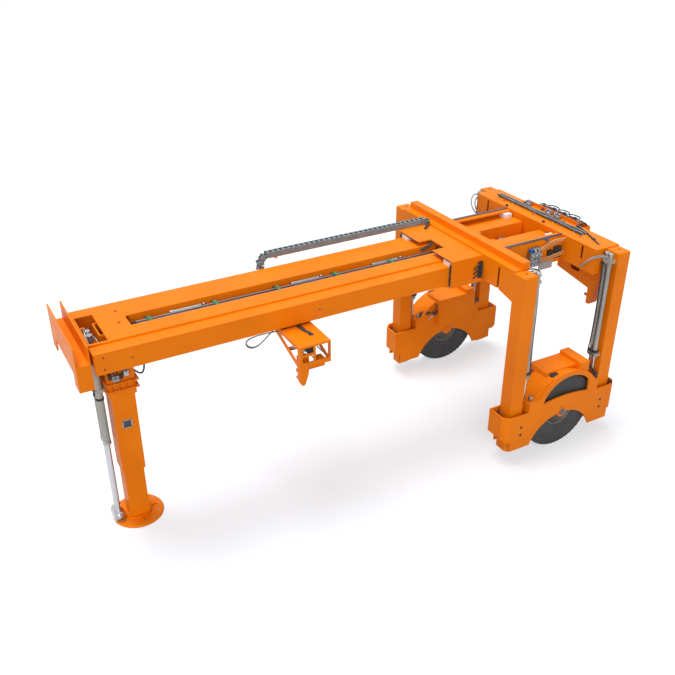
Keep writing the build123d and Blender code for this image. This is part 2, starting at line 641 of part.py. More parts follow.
with BuildPart() as leg_barrels:
    for height in LEG_CLAMP_Z:
        block(ahead(LEG_X + GUIDE / 2, LEG_CYL_X + LEG_BARREL_R), (-LUG_HALF, LUG_HALF),
              (height, height + CLAMP))
    for side in SIDES.values():
        place = (*ahead(LEG_CYL_X), side * LEG_CYL_Y)
        rod(*place, (LEG_BARREL_LOW, LEG_BARREL_TOP), LEG_BARREL_R)
        rod(*place, (LEG_BARREL_LOW + BARREL_END, LEG_BARREL_TOP - BARREL_END), LEG_BARREL_BORE,
            mode=Mode.SUBTRACT)
        rod(*place, (LEG_BARREL_LOW, LEG_BARREL_LOW + BARREL_END), LEG_ROD_R + SEAT, mode=Mode.SUBTRACT)
save(leg_barrels.part, "leg_barrels")

with BuildPart() as leg_middle:
    drawn_low = LEG_TRAVEL + FOOT_T + FOOT_RING + STAGE_REST
    middle_low = drawn_low - MIDDLE_TRAVEL
    tube(*ahead(LEG_X), 0, (middle_low, LEG_TOP - MIDDLE_TRAVEL), MIDDLE, MIDDLE_WALL)
    tube(*ahead(LEG_X), 0, (middle_low, middle_low + COLLAR_T), MIDDLE, (MIDDLE - INNER) / 2 - SEAT)
save(leg_middle.part, "leg_middle")

with BuildPart() as leg_inner:
    tube(*ahead(LEG_X), 0, (FOOT_T + FOOT_RING, LEG_TOP - STAGE_STEP - LEG_TRAVEL), INNER, INNER_WALL)
save(leg_inner.part, "leg_inner")

with BuildPart() as foot_plate:
    rod(*ahead(LEG_X), 0, (0, FOOT_T), FOOT_R)
    chamfer(foot_plate.edges().group_by(Axis.Z)[-1], FOOT_BEVEL)
    rod(*ahead(LEG_X), 0, (FOOT_T, FOOT_T + FOOT_RING), FOOT_RING_R)
save(foot_plate.part, "foot_plate")

with BuildPart() as leg_rods:
    with BuildSketch(Plane((AXLE_X - LEG_CYL_X, LUG_HALF, 0), x_dir=(1, 0, 0), z_dir=(0, -1, 0))):
        with Locations((0, LUG_Z)):
            Circle(LUG_R)
        with Locations((0, (FOOT_T + LUG_Z) / 2)):
            Rectangle(2 * LUG_R, LUG_Z - FOOT_T)
        with Locations((0, FOOT_T - LUG_R)):
            Rectangle(4 * LUG_R, 2 * LUG_R, mode=Mode.SUBTRACT)
    extrude(amount=2 * LUG_HALF)
    with Locations(Location((AXLE_X - LEG_CYL_X, 0, LUG_Z), (90, 0, 0))):
        Cylinder(LUG_PIN_R, 2 * (LUG_HALF + LUG_PIN_OUT))
    for side in SIDES.values():
        rod(*ahead(LEG_CYL_X), side * LEG_CYL_Y, (LUG_Z, LEG_ROD_TOP), LEG_ROD_R)
save(leg_rods.part, "leg_rods")

# Middle arms and their carriage
with BuildPart() as arm_carriage:
    ends = ahead(MID_LOCK + ARM_FORE, MID_LOCK + ARM_FORE - ARM_LENGTH)
    block(ends, (-ARM_ROOT, ARM_ROOT), (ARM_ROOT_LOW, ARM_ROOT_LOW + CARRIAGE_T))
    for side in SIDES.values():
        for outer in (-1, 1):
            wall = TRACK_Y + outer * (TRACK_HEAD / 2 + CARRIAGE_GAP)
            lip = TRACK_Y + outer * (TRACK_WEB / 2 + CARRIAGE_GAP)
            lip_low = TRACK_LOW + TRACK_T + SEAT
            block(ends, span(side, wall, wall + outer * CLAW_WALL), (ARM_ROOT_LOW, lip_low + CLAW_LIP))
            block(ends, span(side, lip, wall + outer * CLAW_WALL), (lip_low, lip_low + CLAW_LIP))
        block(ends, span(side, TRACK_Y - TRACK_HEAD / 2, TRACK_Y + TRACK_HEAD / 2),
              (ARM_ROOT_LOW, TRACK_LOW - CARRIAGE_GAP))
save(arm_carriage.part, "arm_carriage")

for name, side in SIDES.items():
    web = [(side * y, z) for y, z in (
        (ARM_ROOT, ARM_ROOT_LOW), (ARM_ROOT, ARM_TOP), (ARM_OUT, ARM_TOP), (ARM_OUT, ARM_LOW),
        (ARM_KNEE, ARM_LOW))]
    opening = [(side * y, z) for y, z in (
        (ARM_ROOT + 2 * ARM_RIM, ARM_TOP - ARM_RIM), (ARM_OUT - ARM_RIM, ARM_TOP - ARM_RIM),
        (ARM_OUT - ARM_RIM, ARM_LOW + ARM_RIM))]
    fore = MID_LOCK + ARM_FORE
    aft = fore - ARM_LENGTH
    outer = span(side, ARM_OUT - ARM_PLATE, ARM_OUT)
    with BuildPart() as mid_arm:
        across(web, ahead(fore, fore - ARM_PLATE))
        across(web, ahead(aft + ARM_PLATE, aft))
        across(opening, ahead(fore, aft), mode=Mode.SUBTRACT)
        block(ahead(fore, aft), span(side, ARM_COVER_IN, ARM_OUT), (ARM_TOP - ARM_PLATE, ARM_TOP))
        block(ahead(fore, aft), span(side, ARM_ROOT, ARM_COVER_IN),
              (ARM_ROOT_LOW, ARM_ROOT_LOW + CARRIAGE_T))
        block(ahead(fore, aft), span(side, ARM_KNEE, ARM_OUT), (ARM_LOW, ARM_LOW + ARM_PLATE))
        # Outer frame with two openings, the front one with a bar across
        block(ahead(fore, aft), outer, (ARM_LOW, ARM_TOP))
        for front, back in ARM_PANES:
            block(ahead(fore - front, fore - back), outer, (ARM_PANE_LOW, ARM_PANE_TOP), mode=Mode.SUBTRACT)
        bar = (ARM_PANE_LOW + ARM_PANE_TOP) / 2
        block(ahead(fore, fore - ARM_PANES[0][1]), outer, (bar - ARM_BAR / 2, bar + ARM_BAR / 2))
        with BuildSketch() as tip:
            with BuildLine():
                Polyline((-fore, ARM_PANE_LOW), (-fore, TIP_LOW + TIP_POINT), (-MID_LOCK - LOCK_R, TIP_LOW),
                         (-MID_LOCK + LOCK_R, TIP_LOW), (TIP_LENGTH - TIP_SLANT - fore, TIP_HEEL),
                         (TIP_LENGTH - fore, ARM_LOW), (TIP_LENGTH - fore, ARM_PANE_LOW), close=True)
            make_face()
        slab(tip.sketch, span(side, ARM_OUT - TIP_T, ARM_OUT))
        with Locations(Location((AXLE_X - MID_LOCK, side * (LOCK_IN + ARM_OUT) / 2, LOCK_Z), (90, 0, 0))):
            Cylinder(LOCK_R, ARM_OUT - LOCK_IN)
    save(mid_arm.part, f"mid_arm_{name}")


# Frame: sleeve round the beam, cross beams, rear arms
with BuildPart() as sleeve:
    xs = ahead(SLEEVE_FRONT, -REAR_BOX)
    block(xs, (-SLEEVE_HALF, SLEEVE_HALF), (SLEEVE_LOW, SLEEVE_TOP))
    hollow = SLEEVE_HALF - SLEEVE_PLATE
    block(xs, (-hollow, hollow), (SLEEVE_LOW + SLEEVE_PLATE, SLEEVE_TOP - SLEEVE_PLATE), mode=Mode.SUBTRACT)
    top = (SLEEVE_TOP - SLEEVE_PLATE, SLEEVE_TOP)
    block(ahead(SLEEVE_FRONT, SLEEVE_FRONT - NOTCH_DEPTH), (-NOTCH_HALF, NOTCH_HALF), top,
          mode=Mode.SUBTRACT)
    block(ahead(COLUMN_X - COLUMN_HALF, -REAR_BOX), (-SLEEVE_LIP, SLEEVE_LIP), top, mode=Mode.SUBTRACT)
save(sleeve.part, "sleeve")

# Wear pads: the first set is fixed in the sleeve's mouth, the second on the beam's tail
for name, place, to_beam, to_sleeve in (
        ("mouth_pads", SLEEVE_FRONT - PAD_STEP, PAD_FIT, 0),
        ("tail_pads", BEAM_TAIL + PAD_STEP + PAD_LENGTH, 0, PAD_FIT)):
    with BuildPart() as pads:
        xs = ahead(place, place - PAD_LENGTH)
        for side in SIDES.values():
            rail_pad = span(side, BEAM_HALF - PAD_WIDTH, BEAM_HALF)
            block(xs, rail_pad, (RAIL_TOP + to_beam, SLEEVE_TOP - SLEEVE_PLATE - to_sleeve))
            block(xs, rail_pad, (SLEEVE_LOW + SLEEVE_PLATE + to_sleeve, BEAM_LOW - to_beam))
            block(xs, span(side, BEAM_HALF + to_beam, SLEEVE_HALF - SLEEVE_PLATE - to_sleeve),
                  (BEAM_LOW + PAD_LENGTH / 2, RAIL_TOP - PAD_LENGTH / 2))
    save(pads.part, name)

with BuildPart() as front_cross_beam:
    xs = ahead(COLUMN_X + COLUMN_HALF, COLUMN_X - COLUMN_HALF)
    shell = ahead(COLUMN_X + COLUMN_HALF - CROSS_WALL, COLUMN_X - COLUMN_HALF + CROSS_WALL)
    for side in SIDES.values():
        block(xs, span(side, SLEEVE_HALF, COLUMN_FACE), (CROSS_LOW, SLEEVE_TOP))
        block(shell, span(side, SLEEVE_HALF + CROSS_WALL, COLUMN_FACE - CROSS_WALL),
              (CROSS_LOW + CROSS_WALL, SLEEVE_TOP - CROSS_WALL), mode=Mode.SUBTRACT)
        haunch = [(side * y, z) for y, z in (
            (HAUNCH_IN, CROSS_LOW), (COLUMN_FACE, CROSS_LOW), (COLUMN_FACE, CROSS_LOW - HAUNCH))]
        across(haunch, ahead(COLUMN_X + COLUMN_HALF, COLUMN_X + COLUMN_HALF - PLATE))
        across(haunch, ahead(COLUMN_X - COLUMN_HALF + PLATE, COLUMN_X - COLUMN_HALF))
        block(xs, span(side, *FRONT_VENT), (CROSS_LOW, SLEEVE_TOP - VENT_END), mode=Mode.SUBTRACT)
    block(xs, (-COLUMN_FACE, COLUMN_FACE), (SLEEVE_TOP, LEDGE_TOP))
    block(ahead(RIDGE_FRONT, RIDGE_REAR), (-COLUMN_FACE, COLUMN_FACE), (SLEEVE_TOP, RIDGE_TOP))
    block(ahead(RIDGE_FRONT - CROSS_WALL, RIDGE_REAR + CROSS_WALL),
          (-COLUMN_FACE + CROSS_WALL, COLUMN_FACE - CROSS_WALL),
          (LEDGE_TOP, RIDGE_TOP - CROSS_WALL), mode=Mode.SUBTRACT)
save(front_cross_beam.part, "front_cross_beam")

with BuildPart() as rear_cross_beam:
    block(ahead(-REAR_BOX, -COLUMN_X - COLUMN_HALF), (-COLUMN_FACE, COLUMN_FACE), (CROSS_LOW, LEDGE_TOP))
    block(ahead(-REAR_BOX - CROSS_WALL, -COLUMN_X - COLUMN_HALF + CROSS_WALL),
          (-COLUMN_FACE + CROSS_WALL, COLUMN_FACE - CROSS_WALL),
          (CROSS_LOW + CROSS_WALL, LEDGE_TOP - CROSS_WALL), mode=Mode.SUBTRACT)
    for side in SIDES.values():
        block(ahead(-REAR_BOX, -REAR_BOX - CROSS_WALL), span(side, *REAR_VENT),
              (LEDGE_TOP - VENT_END - VENT_LENGTH, LEDGE_TOP - VENT_END), mode=Mode.SUBTRACT)
save(rear_cross_beam.part, "rear_cross_beam")

for name, side in SIDES.items():
    web = [(side * y, z) for y, z in (
        (REAR_ARM_IN, CROSS_LOW), (REAR_ARM_OUT, CROSS_LOW), (REAR_ARM_TIP_OUT, REAR_ARM_TIP),
        (REAR_ARM_TIP_IN, REAR_ARM_TIP), (REAR_ARM_TIP_IN, REAR_ARM_SHOULDER),
        (REAR_ARM_IN, REAR_ARM_IN_LOW))]
    xs = ahead(REAR_LOCK + REAR_ARM_HALF, REAR_LOCK - REAR_ARM_HALF)
    with BuildPart() as rear_arm:
        across(web, xs)
        across(web, (xs[0] + REAR_ARM_WALL, xs[1] - REAR_ARM_WALL), REAR_ARM_WALL, Mode.SUBTRACT)
        hole = (min(xs), side * REAR_HOLE_Y, REAR_HOLE_Z)
        with BuildSketch(Plane(hole, x_dir=(0, 1, 0), z_dir=(1, 0, 0))):
            SlotOverall(*REAR_HOLE)
        extrude(amount=2 * REAR_ARM_HALF, mode=Mode.SUBTRACT)
        with Locations(Location((AXLE_X - REAR_LOCK, side * (LOCK_IN + REAR_ARM_TIP_OUT) / 2, LOCK_Z),
                                (90, 0, 0))):
            Cylinder(LOCK_R, REAR_ARM_TIP_OUT - LOCK_IN)
    save(rear_arm.part, f"rear_arm_{name}")

with BuildPart() as rear_platform:
    xs = ahead(-COLUMN_X - COLUMN_HALF, -REAR_REACH)
    block(xs, (-TRAY_HALF, TRAY_HALF), (TRAY_LOW, TRAY_LOW + TRAY_LIP))
    block(ahead(-COLUMN_X - COLUMN_HALF - TRAY_WALL, -REAR_REACH + TRAY_WALL),
          (-TRAY_HALF + TRAY_WALL, TRAY_HALF - TRAY_WALL),
          (TRAY_LOW + TRAY_WALL, TRAY_LOW + TRAY_LIP), mode=Mode.SUBTRACT)
save(rear_platform.part, "rear_platform")

with BuildPart() as valves:
    for place in BANK_Y:
        with Locations((AXLE_X + (COLUMN_X + COLUMN_HALF + REAR_REACH) / 2, place,
                        TRAY_LOW + TRAY_WALL + TRAY_BANK[2] / 2)):
            Box(*TRAY_BANK)
    block(ahead(VALVE_FRONT, VALVE_REAR), (-SLEEVE_HALF - VALVE_DEEP, -SLEEVE_HALF), (VALVE_LOW, VALVE_TOP))
save(valves.part, "valves")

with BuildPart() as cable_chain:
    with BuildSketch(Plane((AXLE_X, CHAIN_Y + CHAIN_W / 2, 0), x_dir=(1, 0, 0), z_dir=(0, -1, 0))):
        with Locations((-CHAIN_FRONT, CHAIN_Z - CHAIN_BEND)):
            Circle(CHAIN_BEND + CHAIN_H / 2)
            Circle(CHAIN_BEND - CHAIN_H / 2, mode=Mode.SUBTRACT)
        with Locations((-CHAIN_FRONT + CHAIN_BEND * 2, CHAIN_Z - CHAIN_BEND)):
            Rectangle(4 * CHAIN_BEND, 4 * CHAIN_BEND, mode=Mode.SUBTRACT)
        for z, end in ((CHAIN_Z, CHAIN_END), (CHAIN_Z - 2 * CHAIN_BEND, CHAIN_LOWER_END)):
            with Locations((-(CHAIN_FRONT + end) / 2, z)):
                Rectangle(CHAIN_FRONT - end, CHAIN_H)
    extrude(amount=CHAIN_W)
    block(ahead(SLEEVE_FRONT, CHAIN_END), (SLEEVE_HALF, CHAIN_Y + CHAIN_W / 2),
          (SLEEVE_TOP - CHAIN_SHELF, SLEEVE_TOP))
save(cable_chain.part, "cable_chain")
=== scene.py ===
"""Looks of the straddle container mover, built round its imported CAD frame.

Metres, +Z up, wheels at the +X end, near side -Y. The frame's bodies are frame, beam, arms, the two stages
of the leg, and on each side a carriage and its wheel. In tables a place is (distance ahead of the wheel axle,
y, z), as in the part's source.
"""
import json
import math

import bmesh
import bpy
import numpy as np
from mathutils import Matrix, Vector


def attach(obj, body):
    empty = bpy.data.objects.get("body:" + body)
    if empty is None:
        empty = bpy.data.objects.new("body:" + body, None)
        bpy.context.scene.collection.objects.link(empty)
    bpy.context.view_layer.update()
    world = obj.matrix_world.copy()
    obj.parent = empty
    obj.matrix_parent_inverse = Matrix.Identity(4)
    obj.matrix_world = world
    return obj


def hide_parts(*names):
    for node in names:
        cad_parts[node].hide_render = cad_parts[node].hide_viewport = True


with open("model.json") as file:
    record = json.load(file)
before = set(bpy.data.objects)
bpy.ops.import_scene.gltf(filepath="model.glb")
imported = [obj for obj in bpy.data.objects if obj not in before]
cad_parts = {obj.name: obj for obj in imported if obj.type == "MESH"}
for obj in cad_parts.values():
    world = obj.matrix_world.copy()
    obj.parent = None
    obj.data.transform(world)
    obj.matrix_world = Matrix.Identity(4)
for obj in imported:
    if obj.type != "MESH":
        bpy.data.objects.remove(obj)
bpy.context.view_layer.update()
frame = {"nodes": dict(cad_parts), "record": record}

AXLE_X = 3.275
SIDES = {"near": -1.0, "far": 1.0}
SIGNS = tuple(SIDES.values())
ENDS = (1.0, -1.0)

# Wheel units and lifts: the yoke's faces, its cups' and hood's tops, the rods from the middle plane outwards
WHEEL_Y, WHEEL_RADIUS = 1.773, 0.747
YOKE_IN, YOKE_OUT = 1.546, 2.0
CUP_TOP, HOOD_TOP = 0.98, 1.569
LIFT_X, LIFT_SEAT = 0.79, 1.19
ROD_Y = (1.731, 1.815)
ROD_RADIUS, BARREL_RADIUS = 0.024, 0.036
# Frame: columns, the sleeve's side, the tops of the cross beams and of the platform's floor
COLUMN_X, COLUMN_TOP = 1.01, 3.614
SLEEVE_Y, LEDGE_TOP, TRAY_Z = 0.795, 3.632, 3.58
# Beam and leg: the floor of the leg's bay, the deck, the leg's middle and its two cylinders
BAY_FLOOR, DECK_TOP = 3.176, 3.519
LEG = 7.294
LEG_CYLINDERS = ((7.62, -0.068), (7.62, 0.068))
LEG_BARREL = 0.058

# Light: strength and colour of the surround, and (name, direction, strength, width in degrees) of the lamps
SURROUND_COLOUR, SURROUND_STRENGTH = (0.97, 0.98, 1.0, 1), 0.40
LAMPS = (("overhead", (-0.15, 0.3, 1.0), 3.05, 35), ("front_fill", (-0.60, -1.0, 0.5), 1.75, 50))
FLOOR_HALF, FLOOR_COLOUR, FLOOR_LIFT = 60.0, (0.41, 0.42, 0.45, 1), 0.54
# Points of a hose between two of its places
SPAN_STEPS = 6
# Radius and height of the usual bolt heads, and how far a flat mark lies above its face
SMALL_BOLT, BOLT = (0.010, 0.008), (0.012, 0.010)
MARK_LIFT = 0.0005


# Camera at the photograph's viewing angle
def place_camera(azimuth, elevation, roll, distance, target, lens):
    """The camera looks at the target from this far, at these angles in degrees, and is turned by the roll."""
    a, e, r = (math.radians(angle) for angle in (azimuth, elevation, roll))
    back = Vector((math.sin(a) * math.cos(e), -math.cos(a) * math.cos(e), math.sin(e)))
    right = Vector((math.cos(a), math.sin(a), 0))
    up = back.cross(right)
    turned_right = math.cos(r) * right + math.sin(r) * up
    turned_up = math.cos(r) * up - math.sin(r) * right
    data = bpy.data.cameras.new("camera")
    data.lens = lens
    data.sensor_width = 36.0
    data.clip_end = 200.0
    camera = bpy.data.objects.new("camera", data)
    bpy.context.scene.collection.objects.link(camera)
    turn = Matrix((turned_right, turned_up, back)).transposed().to_4x4()
    camera.matrix_world = Matrix.Translation(Vector(target) + distance * back) @ turn
    bpy.context.scene.camera = camera


place_camera(azimuth=-28.8, elevation=29.273, roll=-0.249, distance=14.376, target=(-0.231, 0.0, 2.264),
             lens=44.575)


# Light
def seen_share(nodes, links):
    """1 for camera, glossy and transmission rays, 0 for the others."""
    rays = nodes.new("ShaderNodeLightPath")
    total = rays.outputs["Is Camera Ray"]
    for name in ("Is Glossy Ray", "Is Transmission Ray"):
        both = nodes.new("ShaderNodeMath")
        both.operation = "MAXIMUM"
        links.new(total, both.inputs[0])
        links.new(rays.outputs[name], both.inputs[1])
        total = both.outputs[0]
    return total


def light_the_scene():
    """The surround lights from all sides, and what sees it straight on or mirrored sees white."""
    world = bpy.data.worlds.new("surround")
    bpy.context.scene.world = world
    world.use_nodes = True
    tree = world.node_tree
    tree.nodes.clear()
    out = tree.nodes.new("ShaderNodeOutputWorld")
    mix = tree.nodes.new("ShaderNodeMixShader")
    tree.links.new(seen_share(tree.nodes, tree.links), mix.inputs[0])
    tree.links.new(mix.outputs[0], out.inputs[0])
    for socket, colour, strength in ((1, SURROUND_COLOUR, SURROUND_STRENGTH), (2, (1, 1, 1, 1), 1.0)):
        background = tree.nodes.new("ShaderNodeBackground")
        background.inputs["Color"].default_value = colour
        background.inputs["Strength"].default_value = strength
        tree.links.new(background.outputs[0], mix.inputs[socket])
    for name, direction, strength, angle in LAMPS:
        lamp = bpy.data.lights.new(name, "SUN")
        lamp.energy = strength
        lamp.angle = math.radians(angle)
        holder = bpy.data.objects.new(name, lamp)
        holder.rotation_mode = "QUATERNION"
        holder.rotation_quaternion = Vector(direction).to_track_quat("Z", "Y")
        bpy.context.scene.collection.objects.link(holder)


light_the_scene()
bpy.context.scene.view_settings.view_transform = "Standard"


# Materials
def new_material(name):
    """A material with its nodes, links and shader."""
    material = bpy.data.materials.new(name)
    material.use_nodes = True
    nodes, links = material.node_tree.nodes, material.node_tree.links
    return material, nodes, links, nodes["Principled BSDF"]


def noise(nodes, links, scale, detail, stretch=(1, 1, 1)):
    """A noise of the place on the object, so many features to the metre, stretched along the axes."""
    place = nodes.new("ShaderNodeTexCoord")
    mapping = nodes.new("ShaderNodeMapping")
    mapping.inputs["Scale"].default_value = stretch
    texture = nodes.new("ShaderNodeTexNoise")
    texture.inputs["Scale"].default_value = scale
    texture.inputs["Detail"].default_value = detail
    links.new(place.outputs["Object"], mapping.inputs[0])
    links.new(mapping.outputs[0], texture.inputs["Vector"])
    return texture.outputs["Fac"]


def ramp(nodes, links, value, low, high, low_out, high_out):
    """A value mapped straight from (low, high) to (low_out, high_out) and held at the ends."""
    node = nodes.new("ShaderNodeMapRange")
    node.inputs["From Min"].default_value = low
    node.inputs["From Max"].default_value = high
    node.inputs["To Min"].default_value = low_out
    node.inputs["To Max"].default_value = high_out
    links.new(value, node.inputs["Value"])
    return node.outputs[0]


def cloudy(nodes, links, scale, detail, low, high, low_out=0.0, high_out=1.0):
    """A noise mapped from (low, high) to (low_out, high_out)."""
    return ramp(nodes, links, noise(nodes, links, scale, detail), low, high, low_out, high_out)


def mixed(nodes, links, share, first, second):
    """A colour between first and second by share; either may be a colour or a socket."""
    node = nodes.new("ShaderNodeMix")
    node.data_type = "RGBA"
    links.new(share, node.inputs[0])
    for socket, colour in ((node.inputs[6], first), (node.inputs[7], second)):
        if isinstance(colour, tuple):
            socket.default_value = (*colour, 1)
        else:
            links.new(colour, socket)
    return node.outputs[2]


def bumped(nodes, links, shader, height, strength, distance):
    """The shader's normal tilted by the slope of the height."""
    node = nodes.new("ShaderNodeBump")
    node.inputs["Strength"].default_value = strength
    node.inputs["Distance"].default_value = distance
    links.new(height, node.inputs["Height"])
    links.new(node.outputs[0], shader.inputs["Normal"])


def paint(name, colour, worn, rough=(0.34, 0.5)):
    """Sprayed machine paint: two close tones in clouds, fine dust, a dimpled skin and a thin clear coat."""
    material, nodes, links, shader = new_material(name)
    clouds = cloudy(nodes, links, 1.3, 4, 0.35, 0.7)
    dust = cloudy(nodes, links, 38.0, 5, 0.5, 0.78, 0, 0.5)
    tone = mixed(nodes, links, clouds, colour, worn)
    dusty = tuple(0.86 * c for c in worn)
    links.new(mixed(nodes, links, dust, tone, dusty), shader.inputs["Base Color"])
    links.new(cloudy(nodes, links, 9.0, 5, 0.3, 0.7, *rough), shader.inputs["Roughness"])
    shader.inputs["Specular IOR Level"].default_value = 0.09
    shader.inputs["Coat Weight"].default_value = 0.02
    shader.inputs["Coat Roughness"].default_value = 0.18
    bumped(nodes, links, shader, noise(nodes, links, 160.0, 2), 0.12, 0.002)
    return material


def metal(name, colour, worn, rough, scale=14.0, stretch=(1, 1, 1)):
    """Bare or plated metal: streaks along the piece in colour and gloss."""
    material, nodes, links, shader = new_material(name)
    shader.inputs["Metallic"].default_value = 1.0
    streaks = noise(nodes, links, scale, 6, stretch)
    share = ramp(nodes, links, streaks, 0.35, 0.7, 0, 1)
    links.new(mixed(nodes, links, share, colour, worn), shader.inputs["Base Color"])
    links.new(ramp(nodes, links, streaks, 0.3, 0.7, *rough), shader.inputs["Roughness"])
    bumped(nodes, links, shader, streaks, 0.05, 0.001)
    return material


def plastic(name, colour, worn, rough):
    """Moulded plastic: a fine grain, a little dirt in clouds."""
    material, nodes, links, shader = new_material(name)
    dirt = cloudy(nodes, links, 6.0, 5, 0.45, 0.75)
    links.new(mixed(nodes, links, dirt, colour, worn), shader.inputs["Base Color"])
    links.new(cloudy(nodes, links, 20.0, 3, 0.3, 0.7, *rough), shader.inputs["Roughness"])
    bumped(nodes, links, shader, noise(nodes, links, 120.0, 2), 0.15, 0.002)
    return material


def rubber(name, colour, worn):
    """Tyre rubber: dark, dusty in clouds, with a rough skin."""
    material, nodes, links, shader = new_material(name)
    dust = cloudy(nodes, links, 5.0, 6, 0.4, 0.8)
    links.new(mixed(nodes, links, dust, colour, worn), shader.inputs["Base Color"])
    links.new(cloudy(nodes, links, 30.0, 4, 0.3, 0.7, 0.55, 0.8), shader.inputs["Roughness"])
    bumped(nodes, links, shader, noise(nodes, links, 90.0, 4), 0.3, 0.003)
    return material


# Each look: its colour, the colour where it is dusty or worn, and the range of its roughness
ORANGE = paint("orange_paint", (0.82, 0.200, 0.003), (0.75, 0.170, 0.002))
DARK = paint("dark_paint", (0.035, 0.035, 0.036), (0.06, 0.058, 0.055), (0.4, 0.6))
GREY = paint("grey_paint", (0.40, 0.39, 0.35), (0.31, 0.30, 0.27), (0.3, 0.45))
RED = paint("red_paint", (0.55, 0.012, 0.01), (0.45, 0.012, 0.01))
GREEN = paint("green_paint", (0.03, 0.25, 0.10), (0.025, 0.19, 0.08))
BLUE = paint("blue_paint", (0.03, 0.10, 0.33), (0.03, 0.08, 0.26))
RIM_GREY = paint("rim_paint", (0.13, 0.125, 0.115), (0.19, 0.18, 0.16), (0.4, 0.6))
CHROME = metal("chromed_rod", (0.56, 0.56, 0.58), (0.44, 0.44, 0.45), (0.08, 0.2), 10.0, (1, 1, 0.1))
STEEL = metal("valve_steel", (0.40, 0.40, 0.41), (0.27, 0.27, 0.28), (0.3, 0.5))
PIPE = metal("pipe_steel", (0.24, 0.24, 0.25), (0.16, 0.16, 0.165), (0.3, 0.5), 12.0, (0.1, 1, 1))
RUBBER = rubber("tyre_rubber", (0.024, 0.025, 0.024), (0.048, 0.047, 0.045))
HOSE = rubber("hose_rubber", (0.018, 0.018, 0.019), (0.04, 0.04, 0.04))
WOVEN = rubber("woven_hose", (0.19, 0.195, 0.20), (0.30, 0.30, 0.305))
TAN = rubber("pale_hose_rubber", (0.62, 0.28, 0.10), (0.52, 0.24, 0.09))
GLASS = plastic("dark_window", (0.02, 0.022, 0.025), (0.035, 0.035, 0.037), (0.08, 0.15))
WHITE = plastic("white_plastic", (0.78, 0.78, 0.75), (0.60, 0.60, 0.57), (0.4, 0.6))
CHAIN = plastic("chain_plastic", (0.16, 0.205, 0.225), (0.21, 0.255, 0.27), (0.35, 0.55))

# What each material slot of the record looks like
FINISHES = {"orange_paint": ORANGE, "dark_paint": RIM_GREY, "grey_paint": GREY, "steel_rod": CHROME,
            "valve_steel": STEEL, "pipe_steel": PIPE, "tyre_rubber": RUBBER, "white_plastic": WHITE,
            "chain_plastic": CHAIN}
for entry in frame["record"]["subparts"]:
    node = frame["nodes"][entry["node"]]
    node.data.materials.clear()
    node.data.materials.append(FINISHES[entry["material_slot"]])


# Floor
def lay_floor():
    """A flat square under the machine, white to the camera and still taking the shadow."""
    material, nodes, links, shader = new_material("floor_white")
    shader.inputs["Base Color"].default_value = FLOOR_COLOUR
    shader.inputs["Specular IOR Level"].default_value = 0.0
    shader.inputs["Roughness"].default_value = 0.9
    lift = nodes.new("ShaderNodeMath")
    lift.operation = "MULTIPLY"
    lift.inputs[1].default_value = FLOOR_LIFT
    links.new(seen_share(nodes, links), lift.inputs[0])
    shader.inputs["Emission Color"].default_value = (1, 1, 1, 1)
    links.new(lift.outputs[0], shader.inputs["Emission Strength"])
    corners = FLOOR_HALF * np.array([(-1, -1, 0), (1, -1, 0), (1, 1, 0), (-1, 1, 0)])
    mesh = bpy.data.meshes.new("floor")
    mesh.from_pydata(corners, [], [(0, 1, 2, 3)])
    mesh.materials.append(material)
    floor = bpy.data.objects.new("floor", mesh)
    bpy.context.scene.collection.objects.link(floor)


lay_floor()


# Surfaces worked out as whole arrays. A shell is (points, list of face index arrays).
def grid_faces(rows, columns, round_rows=False):
    """Cell (i, j) joins points i and i+1 of columns j and j+1. The last column is joined to the first, and
    so is the last row where the rows run round."""
    i = np.arange(rows if round_rows else rows - 1)[:, None]
    j = np.arange(columns)[None, :]
    below, above = i * columns, (i + 1) % rows * columns
    right = (j + 1) % columns
    corners = np.broadcast_arrays(below + j, below + right, above + right, above + j)
    return np.stack(corners, -1).reshape(-1, 4)


def skin(rings):
    """Rings (n, m, 3) joined in turn, closed by a fan from each end ring to its mean point."""
    n, m = rings.shape[:2]
    j, k = np.arange(m), (np.arange(m) + 1) % m
    first_fan = np.stack([j, k, np.full(m, n * m)], -1)
    last_fan = np.stack([(n - 1) * m + k, (n - 1) * m + j, np.full(m, n * m + 1)], -1)
    points = np.concatenate([rings.reshape(-1, 3), rings[[0, -1]].mean(axis=1)])
    return points, [grid_faces(n, m), first_fan, last_fan]


def ring_skin(rings):
    """Rings (n, m, 3) joined in turn and the last to the first, as a torus is."""
    n, m = rings.shape[:2]
    return rings.reshape(-1, 3), [grid_faces(n, m, round_rows=True)]


def joined(shells):
    """Several shells as one; each shell's indices move up by the points before it."""
    starts = np.cumsum([0] + [len(points) for points, group in shells[:-1]])
    faces = [face + start for (points, group), start in zip(shells, starts) for face in group]
    return np.concatenate([points for points, group in shells]), faces


def repeated(moved, faces):
    """Copies (n, m, 3) of a shell's points as one shell; each copy's indices move up by those before it."""
    steps = np.arange(len(moved)) * moved.shape[1]
    groups = [(face[None] + steps[:, None, None]).reshape(-1, face.shape[1]) for face in faces]
    return moved.reshape(-1, 3), groups


def copies(shell, places):
    """The shell once at each of the places: point + place for every pair."""
    points, faces = shell
    return repeated(points[None] + places[:, None], faces)


AXES = {"x": np.eye(3)[[1, 2, 0]], "y": np.eye(3)[[2, 0, 1]], "z": np.eye(3)}


